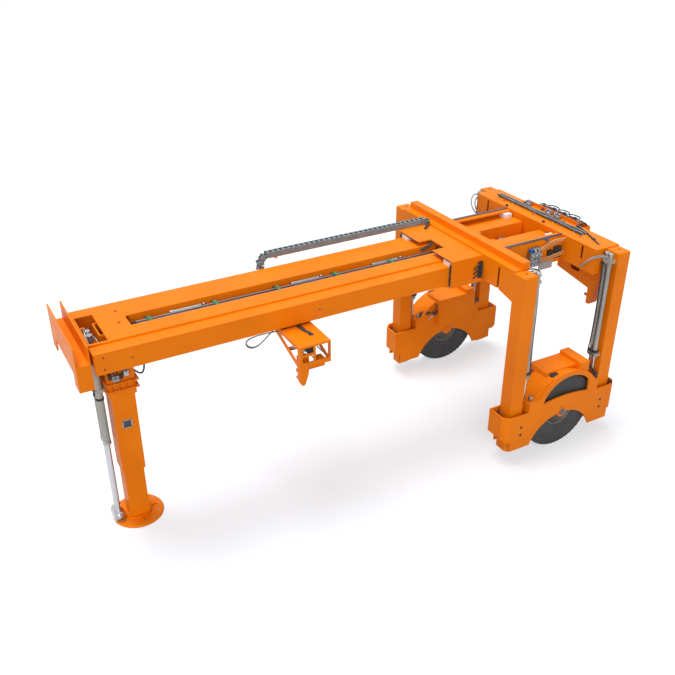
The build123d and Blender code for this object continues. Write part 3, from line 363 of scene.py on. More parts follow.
def turned(profile, centre, axis, sides, bored=False):
    """A profile of (radius, height) points turned about an axis through the centre: radius times the cosine
    and sine of the angle on the first two directions, height on the axis. A bored one joins its last point to
    its first, as a ring does; the others are closed by a flat end."""
    radius, height = np.asarray(profile, float).T[:, :, None, None]
    angle = np.linspace(0, 2 * np.pi, sides, endpoint=False)[:, None]
    first, second, along = AXES[axis]
    rings = radius * (np.cos(angle) * first + np.sin(angle) * second) + height * along
    return (ring_skin if bored else skin)(rings + centre)


def sided(profile, side):
    """The profile with its heights turned to a side."""
    return [(radius, side * height) for radius, height in profile]


def smooth_path(points):
    """A cubic B-spline whose control points are the points, its ends repeated so that it starts and stops at
    them: each span is the sum of four control points times the four basis polynomials of t."""
    held = np.concatenate([points[[0, 0]], points, points[[-1, -1]]])
    t = np.linspace(0, 1, SPAN_STEPS, endpoint=False)[:, None]
    basis = [(1 - t) ** 3, 3 * t ** 3 - 6 * t ** 2 + 4, -3 * t ** 3 + 3 * t ** 2 + 3 * t + 1, t ** 3]
    spans = np.stack([held[k:len(held) - 3 + k] for k in range(4)])
    line = np.einsum("kso,knd->nsd", np.stack(basis) / 6, spans).reshape(-1, 3)
    return np.concatenate([line, points[-1:]])


def carried(path, section):
    """A section of (side, up) points carried along a path: path + side times the path's own side direction
    + up times its own up direction. Side is the normal of the plane that fits the path best, or for a
    straight path the axis that it follows least."""
    along = np.gradient(path, axis=0)
    along /= np.linalg.norm(along, axis=1, keepdims=True)
    spread = path - path.mean(axis=0)
    values, directions = np.linalg.eigh(spread.T @ spread)
    flat = directions[:, 0] if values[1] > 1e-9 else np.eye(3)[np.argmin(np.abs(along[0]))]
    up = np.cross(along, flat)
    up /= np.linalg.norm(up, axis=1, keepdims=True)
    side = np.cross(up, along)
    sideways, upwards = section.T[:, None, :, None]
    return skin(path[:, None] + sideways * side[:, None] + upwards * up[:, None])


def circle(radius, sides):
    """Points of a circle: radius times the cosine and sine of the angle."""
    angle = np.linspace(0, 2 * np.pi, sides, endpoint=False)
    return radius * np.stack([np.cos(angle), np.sin(angle)], -1)


def slab(low, high, edge):
    """A box between two corners with bevelled edges: four rings of eight points, inset by the edge in the
    first and the last ring and at each ring's corners."""
    low, high = np.minimum(low, high), np.maximum(low, high)
    middle, half = (low + high) / 2, (high - low) / 2
    edge = min(edge, 0.45 * half.min())
    reach = ((-1.0, edge), (edge / half[2] - 1, 0.0), (1 - edge / half[2], 0.0), (1.0, edge))
    signs = np.array([(1, -1), (1, -1), (1, 1), (1, 1), (-1, 1), (-1, 1), (-1, -1), (-1, -1)], float)
    cut = np.array([(1, 0), (0, 1), (0, 1), (1, 0), (1, 0), (0, 1), (0, 1), (1, 0)], float) * edge
    flat = signs * (half[:2] - cut)
    rings = [np.insert(flat - signs * inset, 2, height * half[2], axis=1) for height, inset in reach]
    return skin(np.stack(rings) + middle)


def hexagon(radius, height, axis):
    """A bolt head with six sides and a bevelled rim, from the origin out along the axis, or against it where
    the height is negative."""
    out = abs(height)
    points, faces = turned([(radius, 0), (radius, 0.8 * out), (0.86 * radius, out)], (0, 0, 0), axis, 6)
    return points * (1 if height > 0 else np.where(AXES[axis][2] > 0, -1, 1)), faces


# Places in tables are (distance ahead of the wheel axle, y, z); side and end mirror y and the distance
def at(places, side=1.0, end=1.0):
    """Places of a table as points of the scene."""
    return np.asarray(places, float) * (-end, side, 1) + (AXLE_X, 0, 0)


def box(ahead, y, z, edge=0.004, side=1.0, end=1.0):
    """A bevelled box between the (one end, other end) pairs."""
    return slab(*at(np.stack([ahead, y, z], -1), side, end), edge)


def boxes(table, edge=0.004, side=1.0, end=1.0):
    """A bevelled box for every row of three pairs."""
    return [box(*row, edge, side, end) for row in table]


def prism(outline, low, high, side, end):
    """An upright block over a bulging outline of (distance ahead, y) points, set at low and at high."""
    return skin(np.stack([at([(d, y, z) for d, y in outline], side, end) for z in (low, high)]))


def hose(points, radius):
    """A round hose along the smooth path of the points."""
    return carried(smooth_path(points), circle(radius, 10))


def hoses(table, side=1.0, end=1.0):
    """A hose for every row of (radius, places)."""
    return [hose(at(places, side, end), radius) for radius, places in table]


def straight(start, end, radius):
    """A straight round bar from start to end."""
    return carried(np.linspace(start, end, 2), circle(radius, 12))


def studs(points, radius, height, axis="z", out=1.0):
    """The same bolt head at every point, out along the axis, or against it where out is -1."""
    return copies(hexagon(radius, out * height, axis), points)


def discs(points, radius, thick, axis):
    """A thin round plate at every point, its middle in the point."""
    inner = 0.9 * radius
    profile = [(inner, -thick / 2), (radius, -thick / 3), (radius, thick / 3), (inner, thick / 2)]
    return copies(turned(profile, (0, 0, 0), axis, 20), points)


def unions(points, wide, narrow, heights, axis="z", sides=16):
    """A pipe union at every point: a drum up to the first height, a neck from the second to the third."""
    first, second, third = heights
    profile = [(wide, 0), (wide, first), (narrow, second), (narrow, third)]
    return copies(turned(profile, (0, 0, 0), axis, sides), points)


def ringed(point, radius, wall, low, high):
    """A collar round an upright rod: a bevelled ring from low to high above the point, bored through."""
    profile = [(radius, low), (radius + wall, low + 0.003), (radius + wall, high - 0.003), (radius, high)]
    return turned(profile, point, "z", 28, bored=True)


def piece(name, shells, material, body, replaced=(), crease=40):
    """One mesh from shells: doubled points merged, faces turned outwards, creases kept sharp."""
    points, faces = joined(shells)
    mesh = bpy.data.meshes.new(name)
    mesh.from_pydata(points, [], [face for group in faces for face in group.tolist()])
    work = bmesh.new()
    work.from_mesh(mesh)
    bmesh.ops.remove_doubles(work, verts=work.verts, dist=1e-6)
    bmesh.ops.recalc_face_normals(work, faces=work.faces)
    work.to_mesh(mesh)
    work.free()
    mesh.shade_smooth()
    mesh.set_sharp_from_angle(angle=math.radians(crease))
    mesh.materials.append(material)
    made = bpy.data.objects.new(name, mesh)
    bpy.context.scene.collection.objects.link(made)
    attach(made, body)
    if replaced:
        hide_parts(*replaced)


# Tyres and rims
def tyre_shell(side):
    """A tyre as rings of points round its axle. Across the tread the radius falls off as a quarter circle at
    each shoulder. It steps inwards by the groove depth at four straight grooves and at short ones that run
    out over the shoulders, staggered between them. The sidewall is a sine bulge with two raised rings."""
    around, half, seat = 384, 0.160, 0.300
    shoulder, drop, crowning = 0.115, 0.045, 0.004
    grooves, groove_half, groove_depth = (0.028, 0.082), 0.0045, 0.011
    lug_from, lug_depth, lug_every, lug_steps = 0.088, 0.012, 8, 2
    raised, raised_half, raised_by = (0.60, 0.37), 0.012, 0.0025
    tread = np.concatenate([[-half], np.linspace(-0.156, 0.156, 53), [half]])
    fall = np.clip((np.abs(tread) - shoulder) / drop, 0, 1)
    crown = WHEEL_RADIUS - drop * (1 - np.sqrt(1 - fall ** 2)) - crowning * (tread / half) ** 2
    low = np.linspace(0.695, seat, 20)
    bulge = 0.1545 + 0.003 * np.sin(np.pi * (low - seat) / (0.70 - seat))
    for radius in raised:
        bulge += raised_by * (np.abs(low - radius) < raised_half)
    bulge[-2:] = (0.150, 0.146)
    wide = np.concatenate([tread, bulge, -bulge[::-1]])
    tall = np.concatenate([crown, low, low[::-1]])
    straight_groove = np.min(np.abs(np.abs(tread)[:, None] - grooves), axis=1) < groove_half
    lug = (np.arange(around)[:, None] + lug_every // 2 * (tread > 0)) % lug_every < lug_steps
    depth = np.maximum(groove_depth * straight_groove, lug_depth * (lug & (np.abs(tread) > lug_from)))
    reach = np.broadcast_to(tall, (around, len(tall))).copy()
    reach[:, :len(tread)] -= depth
    angle = np.linspace(0, 2 * np.pi, around, endpoint=False)[:, None]
    across = np.broadcast_to(side * (WHEEL_Y + wide), reach.shape)
    x, z = AXLE_X + reach * np.cos(angle), WHEEL_RADIUS + reach * np.sin(angle)
    return ring_skin(np.stack([x, across, z], -1))


# The rim's profile of (radius, distance from the wheel's middle): a stepped dish, the same on both faces
DISH = [(0.2995, 0.146), (0.292, 0.150), (0.280, 0.146), (0.270, 0.120), (0.262, 0.060), (0.235, 0.030),
        (0.140, 0.028), (0.130, 0.128), (0.112, 0.136), (0.046, 0.136)]
for name, side in SIDES.items():
    centre = (AXLE_X, side * WHEEL_Y, WHEEL_RADIUS)
    piece(f"tread_{name}", [tyre_shell(side)], RUBBER, f"wheel_{name}", [f"tyre_{name}"], 25)
    rings = [turned(sided(DISH, side) + sided(DISH[::-1], -side), centre, "y", 64, bored=True)]
    for out in (side, -side):
        nuts = np.insert(circle(0.195, 12), 1, out * 0.028, axis=1) + centre
        rings.append(studs(nuts, 0.017, 0.024, "y", out))
    piece(f"rim_dish_{name}", rings, RIM_GREY, f"wheel_{name}")


# Cable chain
def chain_links():
    """Links along the upper run, round the half circle of the bend and back along the lower run. The slope
    is 0 on the upper run, grows to pi round the bend and stays pi. A link's point (x, z) is turned by it to
    (x cos + z sin, z cos - x sin) and carried to the link's place on the run."""
    pitch, bend, middle, across = 0.098, 0.175, 3.480, 0.905
    start, front, back = 1.16, 4.32, 1.90
    upper = front - start
    length = upper + np.pi * bend + front - back
    travel = np.arange(pitch / 2, length - pitch / 2, pitch)
    slope = np.clip((travel - upper) / bend, 0, np.pi)
    past = np.maximum(travel - upper - np.pi * bend, 0)
    forward = (start + np.minimum(travel, upper) + bend * np.sin(slope) - past)[:, None]
    height = (middle + bend * np.cos(slope))[:, None]
    link = [slab((-0.0487, w - 0.007, -0.052), (0.0487, w + 0.007, 0.052), 0.006) for w in (-0.047, 0.047)]
    link += [slab((-0.018, -0.046, w - 0.004), (0.018, 0.046, w + 0.004), 0.002) for w in (-0.047, 0.047)]
    link.append(turned([(0.012, -0.0545), (0.012, 0.0545)], (0, 0, 0), "y", 8))
    points, faces = joined(link)
    cosine, sine = np.cos(slope)[:, None], np.sin(slope)[:, None]
    x = points[:, 0] * cosine + points[:, 2] * sine
    y = np.broadcast_to(across + points[:, 1], x.shape)
    z = points[:, 2] * cosine - points[:, 0] * sine
    return repeated(np.stack([AXLE_X - forward + x, y, height + z], -1), faces)


piece("chain_links", [chain_links()], CHAIN, "frame", ["cable_chain"])
tray = [box((1.77, 1.16), (SLEEVE_Y, 0.96), (3.58, 3.60)),
        box((4.30, 1.16), (0.852, 0.958), (3.598, 3.604), 0.002),
        box((4.25, 4.20), (0.80, 0.86), (3.592, 3.604))]
piece("chain_tray", tray, ORANGE, "frame")

# Wheel units. The tables are for the far side, and for the front end of what is at both ends.
AXLE_PIN = [(0.0448, YOKE_IN), (0.0448, 1.995), (0.063, YOKE_OUT), (0.063, 2.014), (0.058, 2.0195),
            (0.030, 2.0195), (0.026, 2.012)]
LIFT_UNIONS = [(0.72, 1.60, LIFT_SEAT), (0.72, 1.66, LIFT_SEAT), (0.70, 1.63, LIFT_SEAT),
               (-0.72, 1.60, LIFT_SEAT), (-0.735, 1.66, LIFT_SEAT)]
STEEL_LOOP = [(0.014, [(0.34, 1.50, 1.18), (0.42, 1.50, 1.20), (0.46, 1.53, 1.17), (0.50, 1.56, 1.10)])]
WHEEL_LINES = [(0.010, [(0.34, y, z), (0.42, y + 0.01, z + 0.03), (0.52, 1.52, 1.24 + k),
                        (0.62, 1.57 + k, 1.24 + k), (0.70, 1.60 + k, LIFT_SEAT)])
               for y, z, k in ((1.44, 1.30, 0.0), (1.47, 1.26, 0.03), (1.50, 1.22, 0.06))]
WHEEL_LINES += [(0.012, [(-0.56, y, 1.30), (-0.66, y, 1.33), (-0.72, 1.60, 1.27), (-0.735, 1.66, LIFT_SEAT)])
                for y in (1.46, 1.50)]
WHEEL_LINES += [(0.012, [(-0.56, 1.50 + k, 1.34 + k), (-0.64, 1.60 + k, 1.42 + k), (-0.74, 1.80, 1.40),
                         (-0.795, 1.89 + k, 1.29)]) for k in (0.0, 0.03)]
WHEEL_LINES.append((0.012, [(-0.56, 1.42, 1.24), (-0.66, 1.46, 1.30), (-0.76, 1.56, 1.32),
                            (-0.80, 1.63, 1.26)]))
# Dark sheets low in the cups, painted as the shade in the gaps between the columns and the cups' walls
SHADE_SHEET_Z = (0.84, 0.88)
CUP_SHADE_SHEETS = [((0.80, 1.151), (1.915, 1.973), SHADE_SHEET_Z), ((1.152, 1.270), (1.573, 1.839), SHADE_SHEET_Z),
            ((0.83, 1.151), (1.573, 1.631), SHADE_SHEET_Z)]
CUT_SHADE_SHEET = [(1.152, 1.840), (1.152, 1.973), (1.177, 1.973), (1.270, 1.880), (1.270, 1.840)]


def dress_wheel_unit(name, side):
    """Plugs in the cups' bolt holes, the axle and its keeper, louvre slats in the housing and a dark block
    painted as the shade in the hood's gap, collars round the lift rods, unions and bolts, hoses, dark sheets
    painted as the shade between the columns and the cups' walls, and dark blocks at the rear lift seats."""
    body = f"carriage_{name}"
    plugs = at([(end * 0.93, YOKE_OUT, z) for end in ENDS for z in (0.72, 0.56)], side)
    piece(f"plugs_{name}", [discs(plugs, 0.028, 0.006, "y")], DARK, body)
    pin = turned(sided(AXLE_PIN, side), (AXLE_X, 0, WHEEL_RADIUS), "y", 40)
    piece(f"axle_pin_{name}", [pin], RIM_GREY, body, [f"axle_{name}"])
    keeper = [box((-0.055, 0.055), (YOKE_OUT, 2.012), (0.812, 0.862), side=side),
              box((-0.10, 0.10), (YOKE_IN, 1.530), (0.70, 0.795), 0.006, side)]
    piece(f"keeper_{name}", keeper, ORANGE, body)
    slats = [((0.341, 0.347), (1.44, 1.60), (z, z + 0.02)) for z in np.arange(1.25, 1.46, 0.045)]
    # Louvre slats in the housing's front, and a dark block in the gap between the hood's top and the outer
    # plate, painted as the shade there
    slats_and_dark_blocks = boxes(slats + [((0.28, 0.13), (1.850, 1.925), (1.49, 1.5495))], side=side)
    # a dark block at the rear cup's top by the outer wall
    slats_and_dark_blocks.append(box((-1.17, -1.22), (1.92, 1.97), (0.975, 1.02), 0.006, side))
    piece(f"grille_{name}", slats_and_dark_blocks, DARK, body)
    keeper_bolts = at([(d, 2.012, 0.837) for d in (-0.035, 0.035)], side)
    inner_bolts = at([(d, 1.530, z) for d in (-0.08, 0.08) for z in (0.715, 0.78)], side)
    hood_bolts = at([(d, y, HOOD_TOP) for d in (0.28, -0.50) for y in (1.44, 1.62, 1.80)], side)
    steel = [studs(keeper_bolts, 0.010, 0.007, "y", side), studs(inner_bolts, *SMALL_BOLT, "y", -side),
             studs(hood_bolts, *SMALL_BOLT)]
    shade_sheets_and_seat_blocks = []
    for end in ENDS:
        for y in ROD_Y:
            steel.append(ringed(at((LIFT_X, y, 0), side, end), ROD_RADIUS, 0.012, LIFT_SEAT, 1.225))
        steel.append(studs(at([(1.19, y, CUP_TOP) for y in (1.62, 1.72)], side, end), *BOLT))
        # dark sheets painted as the shade in this cup's gaps round the column
        shade_sheets_and_seat_blocks += boxes(CUP_SHADE_SHEETS, side=side, end=end)
        shade_sheets_and_seat_blocks.append(prism(CUT_SHADE_SHEET, *SHADE_SHEET_Z, side, end))
    steel.append(unions(at(LIFT_UNIONS, side), 0.020, 0.014, (0.03, 0.035, 0.055)))
    steel.append(box((0.76, 0.70), (1.90, 1.96), (LIFT_SEAT, 1.27), 0.006, side))
    piece(f"bright_parts_{name}", steel + hoses(STEEL_LOOP, side), STEEL, body)
    piece(f"wheel_hoses_{name}", hoses(WHEEL_LINES, side), HOSE, body)
    # dark blocks at the rear lift seats
    shade_sheets_and_seat_blocks += boxes([((-0.83, -0.77), (1.595, 1.665), (LIFT_SEAT, 1.26)),
                   ((-0.83, -0.76), (1.87, 1.94), (LIFT_SEAT, 1.29))], 0.006, side)
    piece(f"cup_shade_sheets_and_seat_blocks_{name}", shade_sheets_and_seat_blocks, HOSE, body)


# Lift barrels, in the same way: loops and lines from the top ports of the inner and the outer one
INNER_ROD, OUTER_ROD = ROD_Y
LOW_PORT, TOP_PORT = 1.635, 3.54
LOOPS = [(0.013, [(-0.735, INNER_ROD, TOP_PORT), (-0.66, 1.70, 3.55), (-0.52, 1.62, 3.50),
                  (-0.48, 1.52, 3.36), (-0.53, 1.44, 3.28), (-0.62, 1.42, 3.30)]),
         (0.013, [(-0.735, OUTER_ROD, TOP_PORT), (-0.65, 1.80, 3.57), (-0.46, 1.68, 3.53),
                  (-0.42, 1.54, 3.36), (-0.50, 1.40, 3.24), (-0.62, 1.37, 3.26)])]
TOP_LINES = [(0.012, [(0.735, INNER_ROD, TOP_PORT), (0.70, 1.68, 3.57), (0.74, 1.60, 3.54),
                      (0.875, 1.56, 3.50)]),
             (0.012, [(0.735, OUTER_ROD, TOP_PORT), (0.68, 1.72, 3.58), (0.72, 1.58, 3.58),
                      (0.875, 1.50, 3.52)])]


def dress_lift_barrels(name, side):
    """Clamps and glands at the barrels, pipes and hoses to their tops, and a thin dark sheet on each column's
    inner face, painted as the shade of a slot.
    """
    clamps, glands, lines = [], [], []
    for end in ENDS:
        clamps += [box((0.742, 0.838), (1.687, 1.859), (1.665, 1.725), 0.008, side, end),
                   box((0.75, 0.83), (1.75, 1.796), (1.725, 1.80), 0.006, side, end),
                   # a thin dark sheet on the column's inner face, painted as the shade of a slot
                   box((1.02, 1.05), (1.6375, 1.640), (3.13, 3.44), 0.001, side, end)]
        for y in ROD_Y:
            glands += [ringed(at((LIFT_X, y, 0), side, end), BARREL_RADIUS, 0.006, low, high)
                       for low, high in ((1.580, 1.612), (3.560, 3.594))]
            glands += hoses([(0.013, [(LIFT_X, y, TOP_PORT), (0.73, y, TOP_PORT)]),
                             (0.013, [(LIFT_X, y, LOW_PORT), (0.735, y, LOW_PORT)])], side, end)
            riser = [(0.735, y, LOW_PORT), (0.70, y, 1.64), (0.70, y, 1.74), (0.738, y, 1.95),
                     (0.738, y, 3.30), (0.74, y - 0.05, 3.42), (0.80, 1.62, 3.36)]
            lines += hoses([(0.011, riser)], side, end)
    piece(f"barrel_loops_{name}", hoses(LOOPS, side), WOVEN, "frame")
    piece(f"barrel_clamps_and_slot_shade_{name}", clamps, DARK, "frame")
    piece(f"barrel_glands_{name}", glands, STEEL, "frame")
    piece(f"barrel_hoses_{name}", lines + hoses(TOP_LINES, side), HOSE, "frame")


for name, side in SIDES.items():
    dress_wheel_unit(name, side)
    dress_lift_barrels(name, side)

# Frame: wipers at the sleeve's mouth, boxes, hoses and pipes on its sides
WIPER = (1.7702, 1.7785)
wipers, side_boxes = [], []
for side in SIGNS:
    wipers += boxes([(WIPER, (0.742, 0.790), (3.15, 3.545)),
                     (WIPER, (0.215, 0.76), (3.578, 3.596))], side=side)
    side_boxes += boxes([((1.15, 1.22), (SLEEVE_Y, 0.84), (3.20, 3.50)),
                         ((0.80, 0.83), (SLEEVE_Y, 0.90), (3.22, 3.52))], side=side)
side_boxes += boxes([((-0.44, -0.60), (-SLEEVE_Y, -0.85), (3.30, 3.43)),
                     ((-0.30, -0.40), (-SLEEVE_Y, -0.86), (3.27, 3.39))], 0.008)
piece("wipers", wipers, HOSE, "frame")
piece("side_boxes", side_boxes, DARK, "frame")
lines = [(0.012, [(0.85 - k, -0.80, 3.45), (0.85 - k, -0.87, 3.47), (1.0 - k, -0.90, 3.35),
                  (1.16, -0.83, 3.28 + k)]) for k in (0.0, 0.05)]
lines += [(0.011, [(1.19, side * 0.84, z), (1.26, side * 0.87, z + 0.02), (1.30, side * 0.84, z - 0.06),
                   (1.30, side * SLEEVE_Y, z - 0.10)]) for side in SIGNS for z in (3.30, 3.38, 3.46)]
lines += [(0.012, [(1.18, 0.905 - k, 3.68), (1.11, 0.89 - k, 3.69), (1.16, 0.80 - k, 3.66),
                   (1.26, 0.72 - k, 3.635), (1.34, 0.66 - k, 3.604)]) for k in (0.0, 0.035)]
lines += [(0.013, [(1.76, y, 3.47), (1.66, y, 3.50), (1.56, y + 0.02, 3.52), (1.505, y + 0.03, 3.578)])
          for y in (-0.12, 0.10, 0.15)]
piece("frame_hoses", hoses(lines), HOSE, "frame")
lines = [(0.014, [(-0.06, -0.85, z), (-0.12, -0.845, z + 0.03), (-0.30, -0.82, 3.47 + k),
                  (-0.45, -0.82, 3.50 + k), (-0.62, -0.83 - k, 3.52 + k)])
         for k, z in ((0.0, 3.40), (0.034, 3.42), (0.068, 3.44))]
lines += [(0.014, [(-0.06, -0.88, 3.25 + k), (-0.25, -0.87, 3.24 + k), (-0.45, -0.87, 3.26 + k),
                   (-0.62, -0.88, 3.30 + k)]) for k in (0.0, 0.04)]
piece("pale_hoses", hoses(lines), TAN, "frame")
# Straight pipes of (distance of the front end, y, z, radius), all with the same rear end
BARS_END = -0.62
BARS = [(0.80, -0.775, 3.612, 0.010), (0.80, -0.775, 3.634, 0.010), (0.70, 0.74, 3.614, 0.009),
        (0.70, 0.77, 3.614, 0.009), (-0.10, -0.806, 3.20, 0.008), (-0.10, -0.806, 3.225, 0.008)]
pipes = [straight(at((d, y, z)), at((BARS_END, y, z)), radius) for d, y, z, radius in BARS]
pipes += hoses([(0.010, [(0.16, -0.86, 3.30 + k), (0.40, -0.86, 3.31 + k), (0.60, -0.86, 3.31 + k),
                         (0.79, -0.86, 3.30 + k)]) for k in (0.0, 0.03, 0.06)])
piece("frame_pipes", pipes, PIPE, "frame")

# Unions and bolts on the frame: the near valve block, the platform's tray, cross beams, wipers and columns
VALVES_Y = (-0.42, -0.14, 0.14, 0.42)
block_tops = at([(d, y, 3.45) for d in (-0.04, 0.04) for y in (-0.875, -0.825)])
block_sides = at([(d, -0.905, z) for d in (-0.04, 0.04, 0.12) for z in (3.24, 3.32, 3.40)])
tray_bolts = at([(d, y + w, TRAY_Z) for d in (-1.24, -1.36) for y in VALVES_Y for w in (-0.05, 0.05)])
tray_unions = at([(d, y + w, TRAY_Z) for d in (-1.26, -1.34) for y in VALVES_Y for w in (-0.03, 0.03)])
beam_bolts = at([(d, side * y, LEDGE_TOP) for side in SIGNS for d in (1.07, 1.11) for y in (0.1, 1.55)])
wiper_bolts = at([(WIPER[1], side * y, z) for side in SIGNS for y, z in (
    (0.766, 3.20), (0.766, 3.35), (0.766, 3.50), (0.35, 3.587), (0.60, 3.587))])
column_bolts = at([(end * COLUMN_X + a, side * WHEEL_Y + b, COLUMN_TOP) for end in ENDS for side in SIGNS
                   for a in (-0.09, 0.09) for b in (-0.09, 0.09)])
steel = [unions(block_tops, 0.030, 0.024, (0.05, 0.055, 0.075), sides=20),
         unions(block_sides, 0.024, 0.016, (-0.035, -0.04, -0.06), "y"),
         unions(tray_unions, 0.022, 0.014, (0.05, 0.056, 0.075)),
         studs(np.concatenate([tray_bolts, beam_bolts]), *BOLT),
         studs(wiper_bolts, 0.007, 0.005, "x", -1.0), studs(column_bolts, *SMALL_BOLT)]
piece("frame_fittings", steel, STEEL, "frame")
blue = [turned([(0.040, 0), (0.042, 0.02), (0.040, 0.055), (0.030, 0.062)], at((0.11, -0.85, 3.45)), "z", 28),
        box((-0.28, -0.22), (-0.84, -0.80), (3.58, 3.625), 0.008)]
piece("blue_caps", blue, BLUE, "frame")
green = boxes([((1.20, 1.16), (0.76, 0.80), (3.668, 3.70)),
               ((-1.03, -0.99), (-0.42, -0.37), (LEDGE_TOP, 3.67)),
               ((-1.24, -1.20), (0.24, 0.28), (TRAY_Z, 3.63))])
piece("green_caps", green, GREEN, "frame")
side_plate = box((-0.14, -0.46), (-SLEEVE_Y, -0.803), (3.02, 3.17), 0.002)
piece("side_plate", [side_plate], GREY, "frame")
knob = turned([(0.026, 0), (0.030, 0.012), (0.024, 0.028), (0.010, 0.036)], (0, 0, 0), "z", 20)
knob_places = [(-1.10, 0.284), (-0.90, -1.285), (-0.66, 0.80), (-1.08, -0.70), (-0.70, -0.20)]
knobs = copies(knob, at([(d, y, LEDGE_TOP) for d, y in knob_places]))
piece("knobs", [knobs], DARK, "frame")
lines = [(0.011, [(-1.26 - 0.08 * k, y, 3.64), (-1.24 - 0.05 * k, y, 3.69), (-1.17, y + 0.03, 3.67),
                  (-1.165 - 0.01 * k, y + 0.05, 3.60), (-1.17, y + 0.05, 3.56), (-1.15, y + 0.05, 3.53)])
         for middle in VALVES_Y for k, y in enumerate((middle - 0.03, middle + 0.03))]
lines += [(0.011, [(-1.34, y - 0.03, 3.64), (-1.37, y - 0.02, 3.68), (-1.39, y + 0.06, 3.66),
                   (-1.37, y + 0.13, 3.68), (-1.34, y + 0.25, 3.65)]) for y in VALVES_Y[:3]]
lines += [(0.012, [(-1.40, -0.60 + k, 3.56), (-1.42, -0.58 + k, 3.60), (-1.41, 0.0, 3.585),
                   (-1.42, 0.56 + 2 * k / 3, 3.60), (-1.38, 0.60 - 2 * k / 3, 3.54)]) for k in (0.0, 0.03)]
lines += [(0.012, [(-1.10 + k, -0.66, 3.65), (-1.02, -0.95, 3.648 + 0.4 * k), (-0.86 + k, -1.40, 3.648),
                   (-0.80, -1.60, 3.60), (-0.80, -1.66, 3.56)]) for k in (0.0, 0.03)]
piece("tray_hoses", hoses(lines), HOSE, "frame")


# Hoses along the top of the rear cross beam, in saddles, with blocks behind them and a guard round the blocks
def top_line(k):
    """The hose of number k: it waves by a sine ahead and a cosine upwards from stop to stop, then dips."""
    shift = 0.036 * k
    line = [(-0.85 - shift + 0.008 * math.sin(2.3 * j + 1.7 * k), y, 3.664 + 0.007 * math.cos(1.9 * j + k))
            for j, y in enumerate(np.linspace(1.33, -0.98, 10))]
    return 0.013, line + [(-0.86 - shift, -1.01, 3.65), (-0.86 - shift, -1.02, 3.634)]


BLOCKS_Y = (0.62, 0.05, -0.18)
piece("top_hoses", hoses([top_line(0), top_line(2)]), HOSE, "frame")
piece("top_woven_hoses", hoses([top_line(1), top_line(3)]), WOVEN, "frame")
saddles = boxes([((-0.825, -0.985), (y - 0.014, y + 0.014), (LEDGE_TOP, 3.650))
                 for y in (1.29, 0.82, 0.20, -0.32, -0.86)])
saddles += boxes([((-1.0, -1.085), (y - 0.07, y + 0.07), (LEDGE_TOP, 3.690)) for y in BLOCKS_Y], 0.006)
block_unions = at([(d, y + w, 3.690) for d in (-1.02, -1.065) for y in BLOCKS_Y for w in (-0.04, 0.04)])
saddles.append(unions(block_unions, 0.018, 0.011, (0.03, 0.034, 0.044), sides=14))
piece("top_saddles", saddles, STEEL, "frame")
guard = boxes([((-1.118, -1.130), (-0.64, 0.72), (LEDGE_TOP, 3.700)),
               ((-0.99, -1.118), (0.708, 0.72), (LEDGE_TOP, 3.700))])
piece("top_guard", guard, ORANGE, "frame")

# Beam: clamps and small cylinders at these distances in the slot, and the lines there
CLAMPS_D = [6.70 - 1.06 * k for k in range(6)]
CYLINDERS_D = (6.10, 4.05, 2.52)
clamps = boxes([((d - 0.026, d + 0.026), (-0.075, 0.075), (3.452, 3.478)) for d in CLAMPS_D], 0.005)
piece("pipe_clamps", clamps, GREEN, "beam")
cylinder = turned([(0.020, -0.26), (0.034, -0.255), (0.036, -0.20), (0.030, -0.195), (0.030, 0.20),
                   (0.036, 0.205), (0.034, 0.25), (0.018, 0.26)], (0, 0, 0), "x", 24)
steel = [studs(at([(d, y, 3.478) for d in CLAMPS_D for y in (-0.055, 0.0, 0.055)]), *SMALL_BOLT),
         copies(cylinder, at([(d, 0.112, 3.42) for d in CYLINDERS_D]))]
steel += boxes([((d + w - 0.05, d + w + 0.05), (0.083, 0.160), (3.37, 3.395))
                for d in CYLINDERS_D for w in (0.15, -0.15)])
steel += boxes([((d - 0.02, d + 0.02), (y - 0.02, y + 0.02), (3.40, 3.46))
                for d in (5.80, 3.75, 2.20) for y in (-0.11, 0.11)], 0.005)
piece("slot_fittings", steel, STEEL, "beam")
lines = [(0.014, [(6.90, y, 3.44), (6.98, y, 3.445), (7.03, y * 1.2, 3.42), (7.05, y * 1.4, 3.33),
                  (7.06, y * 1.4, BAY_FLOOR)]) for y in (-0.04, 0.04)]
lines += [(0.012, [(6.90, y, 3.36), (6.5, y, 3.372), (5.9, y * 1.02, 3.365), (5.2, y, 3.374),
                   (4.4, y, 3.366), (3.4, y * 1.02, 3.374), (2.4, y, 3.368), (1.5, y, 3.372),
                   (0.60, y, 3.36), (0.42, y, 3.29)]) for y in (-0.135, -0.105)]
lines += [(0.011, [(d - 0.26, 0.112, 3.42), (d - 0.34, 0.10, 3.43), (d - 0.40, 0.0, 3.40),
                   (d - 0.46, -0.09, 3.378)]) for d in CYLINDERS_D]
lines += [(0.012, [(0.90, y, 3.44), (0.74, y, 3.44), (0.60, y * 1.6, 3.42), (0.45, y * 2.2, 3.36),
                   (0.30, y * 2.6, 3.29)]) for y in (-0.04, 0.04)]
piece("slot_hoses", hoses(lines), HOSE, "beam")
pocket = boxes([((0.34, 0.10), (-0.17, 0.02), (3.29, 3.38)),
                ((0.06, -0.10), (-0.10, 0.14), (3.29, 3.36))], 0.008)
piece("pocket_blocks", pocket, STEEL, "beam")

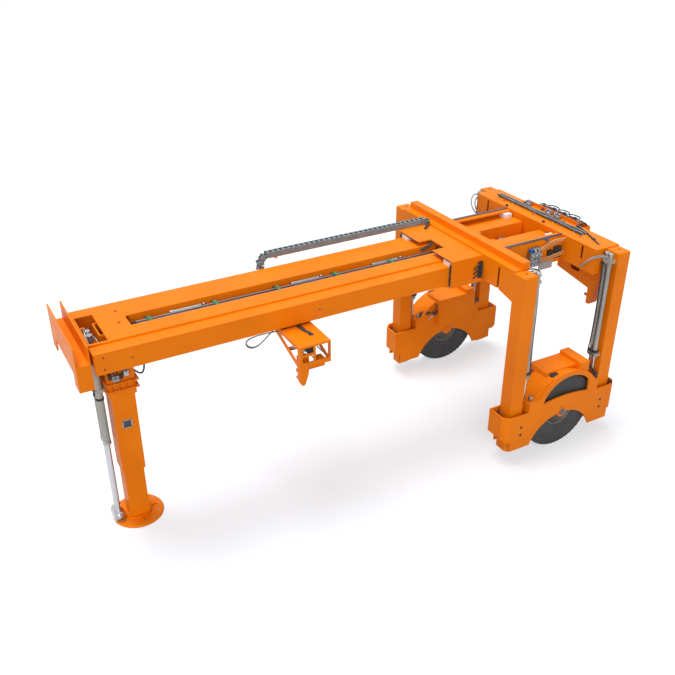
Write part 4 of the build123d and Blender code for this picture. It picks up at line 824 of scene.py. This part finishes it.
# Beam: the well's motor and the leg cylinders' ends, marks, plugs, bolts and ribs
MOTOR = at((7.655, 0.165, 3.18))
body_profile = [(0.046, 0), (0.050, 0.01), (0.050, 0.11), (0.042, 0.12), (0.042, 0.20)]
motor = [turned(body_profile, MOTOR, "z", 28), box((7.70, 7.61), (-0.33, -0.16), (3.18, 3.36), 0.01)]
piece("motor_body", motor, DARK, "beam")
cap_profile = [(0.042, 0.20), (0.046, 0.215), (0.046, 0.27), (0.034, 0.29)]
piece("motor_cap", [turned(cap_profile, MOTOR, "z", 28)], ORANGE, "beam")
end_profile = [(LEG_BARREL, 0), (0.060, 0.008), (0.050, 0.030), (0.020, 0.034)]
ends = [turned(end_profile, at((d, y, 3.44)), "z", 28) for d, y in LEG_CYLINDERS]
ends += [ringed(at((d, y, 0)), LEG_BARREL, 0.006, 1.545, 1.60) for d, y in LEG_CYLINDERS]
piece("barrel_ends", ends, STEEL, "beam")
lines = [(0.017, [(7.655, 0.165, 3.44), (7.66, 0.13, 3.49), (7.67, 0.0, 3.50), (7.68, -0.12, 3.46),
                  (7.66, -0.22, 3.36)]),
         (0.012, [(7.54, 0.30, BAY_FLOOR), (7.53, 0.29, 3.36), (7.55, 0.20, 3.45), (7.60, 0.10, 3.46)]),
         (0.012, [(7.56, -0.38, BAY_FLOOR), (7.54, -0.36, 3.40), (7.56, -0.20, 3.47),
                  (7.60, -0.09, 3.46)])]
piece("well_hoses", hoses(lines), PIPE, "beam")
marks = [(d, y, DECK_TOP + MARK_LIFT) for d, y in ((7.10, 0.38), (7.15, 0.0))]
piece("beam_marks", [discs(at(marks), 0.026, 0.003, "z")], RED, "beam")
holes = at([(d, side * 0.7355, z) for side in SIGNS
            for d, z in ((7.20, 3.32), (4.22, 3.32), (7.60, 3.42), (7.60, 3.23))])
piece("beam_plugs", [discs(holes, 0.014, 0.003, "y")], DARK, "beam")
deck = [(7.41, y) for y in (-0.38, -0.13, 0.13, 0.38)] + [(7.72, y) for y in (-0.40, 0.40)]
deck += [(6.98, y) for y in (-0.44, -0.24, 0.24, 0.44)]
deck_bolts = studs(at([(d, y, DECK_TOP) for d, y in deck]), 0.011, 0.008)
piece("deck_bolts", [deck_bolts], ORANGE, "beam")
ribs = boxes([((7.81, 7.978), (y - 0.008, y + 0.008), (3.21, 3.38)) for y in (-0.50, -0.17, 0.17, 0.50)])
piece("crosshead_ribs", ribs, ORANGE, "beam")
marks = [(end * COLUMN_X, side * WHEEL_Y, COLUMN_TOP + MARK_LIFT) for end in ENDS for side in SIGNS]
marks += [(-0.80, y, LEDGE_TOP + MARK_LIFT) for y in (-1.05, 0.20, 1.05)]
piece("frame_marks", [discs(at(marks), 0.024, 0.003, "z")], RED, "frame")

# Leg: a bolted flange pair at the guide, fittings and hoses above it on the guide's near face
FLANGE_IN, FLANGE_OUT, FLANGE_THICK = 0.2095, 0.257, 0.025
flanges, bolts = [], []
for z in (2.515, 2.640):
    top = z + FLANGE_THICK
    for out in ENDS:
        across = (out * FLANGE_IN, out * FLANGE_OUT)
        flanges += boxes([((LEG + across[0], LEG + across[1]), (-FLANGE_OUT, FLANGE_OUT), (z, top)),
                          ((LEG - FLANGE_IN, LEG + FLANGE_IN), across, (z, top))], 0.003)
    bolts += [(LEG + a, b, top) for a in (-0.22, -0.11, 0.0, 0.11, 0.22) for b in (-0.236, 0.236)]
    bolts += [(LEG + a, b, top) for a in (-0.236, 0.236) for b in (-0.11, 0.0, 0.11)]
flanges += boxes([((LEG + a - 0.006, LEG + a + 0.006), (-0.25, -FLANGE_IN), (2.54, 2.64))
                  for a in (-0.165, -0.055, 0.055, 0.165)])
piece("leg_flanges", flanges, ORANGE, "beam")
GUIDE_Y = -0.209
steel = [studs(at(bolts), 0.011, 0.010)]
steel += boxes([((LEG + 0.13, LEG + 0.03), (GUIDE_Y, -0.262), (2.70, 2.80)),
                ((LEG - 0.04, LEG - 0.12), (GUIDE_Y, -0.255), (2.75, 2.86))], 0.006)
leg_unions = at([(LEG + 0.10, -0.262, 2.75), (LEG + 0.06, -0.262, 2.75), (LEG - 0.08, -0.255, 2.83)])
steel.append(unions(leg_unions, 0.020, 0.013, (-0.03, -0.035, -0.05), "y"))
piece("leg_fittings", steel, STEEL, "beam")
dark = boxes([((LEG + 0.02, LEG - 0.03), (GUIDE_Y, -0.25), (2.72, 2.80)),
              ((LEG + 0.19, LEG + 0.14), (GUIDE_Y, -0.25), (2.74, 2.84))], 0.006)
dark += [ringed(at((d, y, 0)), LEG_BARREL, 0.008, 2.36, 2.40) for d, y in LEG_CYLINDERS]
piece("leg_valves", dark, DARK, "beam")
caps = boxes([((LEG + 0.125, LEG + 0.095), (-0.255, -0.22), (2.80, 2.83)),
              ((LEG - 0.06, LEG - 0.10), (-0.25, -0.22), (2.86, 2.89))], 0.006)
piece("leg_caps", caps, WHITE, "beam")
lines = [(0.012, [(d, -0.245, 2.80), (d, -0.28, 2.90), (d - 0.02, -0.32, 3.05), (d - 0.03, -0.34, 3.16)])
         for d in (LEG + 0.11, LEG + 0.06, LEG - 0.02, LEG - 0.08)]
lines += [(0.014, [(7.084, -0.15, 2.78), (6.99, -0.20, 2.68), (6.93, -0.23, 2.76), (6.93, -0.26, 2.98),
                   (6.96, -0.28, 3.16)]),
          (0.014, [(7.084, -0.10, 2.90), (7.00, -0.14, 2.80), (6.96, -0.18, 2.90), (6.97, -0.22, 3.04),
                   (6.99, -0.24, 3.16)])]
lines += [(0.012, [(7.675, side * 0.06, 2.45), (7.70, side * 0.05, 2.55), (7.70, side * 0.04, 2.9),
                   (7.69, side * 0.03, 3.16)]) for side in SIGNS]
piece("leg_hoses", hoses(lines), HOSE, "beam")

# Leg: the window in the middle stage, the foot's bolts, lug caps and ribs
STAGE_Y, LOW, HIGH = -0.182, 1.80, 1.95
window = [((LEG + a, LEG + b), (STAGE_Y, -0.188), z) for a, b, z in (
    (0.075, 0.060, (LOW, HIGH)), (-0.060, -0.075, (LOW, HIGH)),
    (0.075, -0.075, (LOW, LOW + 0.015)), (0.075, -0.075, (HIGH - 0.015, HIGH)))]
piece("window_frame", boxes(window, 0.002), STEEL, "middle_stage")
glass = box((LEG + 0.062, LEG - 0.062), (STAGE_Y, -0.185), (1.813, 1.937), 0.001)
piece("window_glass", [glass], GLASS, "middle_stage")
foot_bolts = np.insert(circle(0.345, 12), 2, 0.031, axis=1) + (LEG, 0, 0)
steel = [studs(at(foot_bolts), 0.014, 0.010)]
lug_cap = [(0.030, 0), (0.036, 0.006), (0.036, 0.018), (0.028, 0.024)]
steel += [turned(sided(lug_cap, side), at((7.62, 0.145, 0.112), side), "y", 24) for side in SIGNS]
piece("foot_bolts", steel, STEEL, "foot_stage")
ribs = [((LEG + a, LEG + b), y, (0.030, 0.058)) for a, b, y in (
    (-0.006, 0.006, (0.226, 0.32)), (-0.006, 0.006, (-0.32, -0.226)), (-0.32, -0.226, (-0.006, 0.006)))]
piece("foot_ribs", boxes(ribs, 0.003), ORANGE, "foot_stage")

# Arms: lock drives, guides, cross bars, hoses, and pipe loops in front. The tables are for the far side.
DRIVE_PROFILE = [(0.020, -0.24), (0.032, -0.235), (0.034, -0.18), (0.028, -0.175), (0.028, 0.17),
                 (0.034, 0.175), (0.032, 0.235), (0.016, 0.245)]
LOCK_COLLAR = [(0.027, 0.0), (0.034, 0.004), (0.034, 0.018), (0.027, 0.022)]
CROSS_BARS = [((4.888, 4.398), (1.02, 1.036), (2.92, 2.936)), ((4.60, 4.585), (1.355, 1.02), (2.80, 2.815)),
              ((4.47, 4.455), (1.355, 0.95), (2.90, 2.915))]
GUIDES = [((4.86, 4.70), (1.17, 1.285), (2.70, 2.90)), ((4.89, 4.43), (1.20, 1.26), (2.64, 2.70)),
          ((4.89, 4.43), (0.90, 0.95), (2.86, 2.91)), ((4.58, 4.46), (1.20, 1.34), (2.70, 2.84))]
ARM_LINES = [(0.009, [(4.64 - k, 0.748, 3.1485), (4.64 - k, 0.85, 3.150), (4.61 - k / 2, 0.98, 3.154),
                      (4.57 - k / 3, 1.06, 3.160), (4.56 - k / 3, 1.08, 3.136)]) for k in (0.0, 0.03, 0.06)]
ARM_LINES += [(0.010, [(4.72, 1.20 + k, 3.00), (4.80, 1.22 + k, 2.98), (4.84, 1.30 + k / 2, 2.92),
                       (4.86, 1.31 + k / 2, 2.85)]) for k in (0.0, 0.04)]
PIPE_LOOPS = [(0.009, [(4.908, 0.56, 3.085), (5.06, 0.60, 3.02), (5.25, 0.66 + k, 2.90 + k),
                       (5.42, 0.69 + k, 2.92 + k), (5.50, 0.70, 3.04 + k), (5.40, 0.70, 3.12),
                       (5.15, 0.69, 3.12), (4.908, 0.66, 3.085)]) for k in (0.0, 0.03)]
drives, guides, steel, lines, loops = [], [], [], [], []
for side in SIGNS:
    drives += [box((4.895, 4.835), (1.292, 1.352), (2.66, 2.85), 0.008, side),
               box((4.72, 4.58), (1.16, 1.28), (2.93, 3.06), 0.01, side),
               discs(at([(4.56, 1.08, 3.1385)], side), 0.045, 0.003, "z")]
    drives += boxes(CROSS_BARS, side=side)
    guides += boxes(GUIDES, 0.006, side)
    arm_bolts = at([(d, y, 3.138) for d in (4.87, 4.42) for y in (0.80, 1.05, 1.33)], side)
    steel += [turned(DRIVE_PROFILE, at((4.64, 1.10, 3.02), side), "x", 24),
              turned(sided(LOCK_COLLAR, side), at((4.848, 1.262, 2.52), side), "y", 24),
              studs(arm_bolts, *SMALL_BOLT)]
    lines += hoses(ARM_LINES, side)
    loops += hoses(PIPE_LOOPS, side)
piece("lock_drives", drives, DARK, "arms")
piece("lock_guides", guides, ORANGE, "arms")
piece("arm_fittings", steel, STEEL, "arms")
piece("arm_hoses", lines, HOSE, "arms")
piece("arm_pipes", loops, PIPE, "arms")
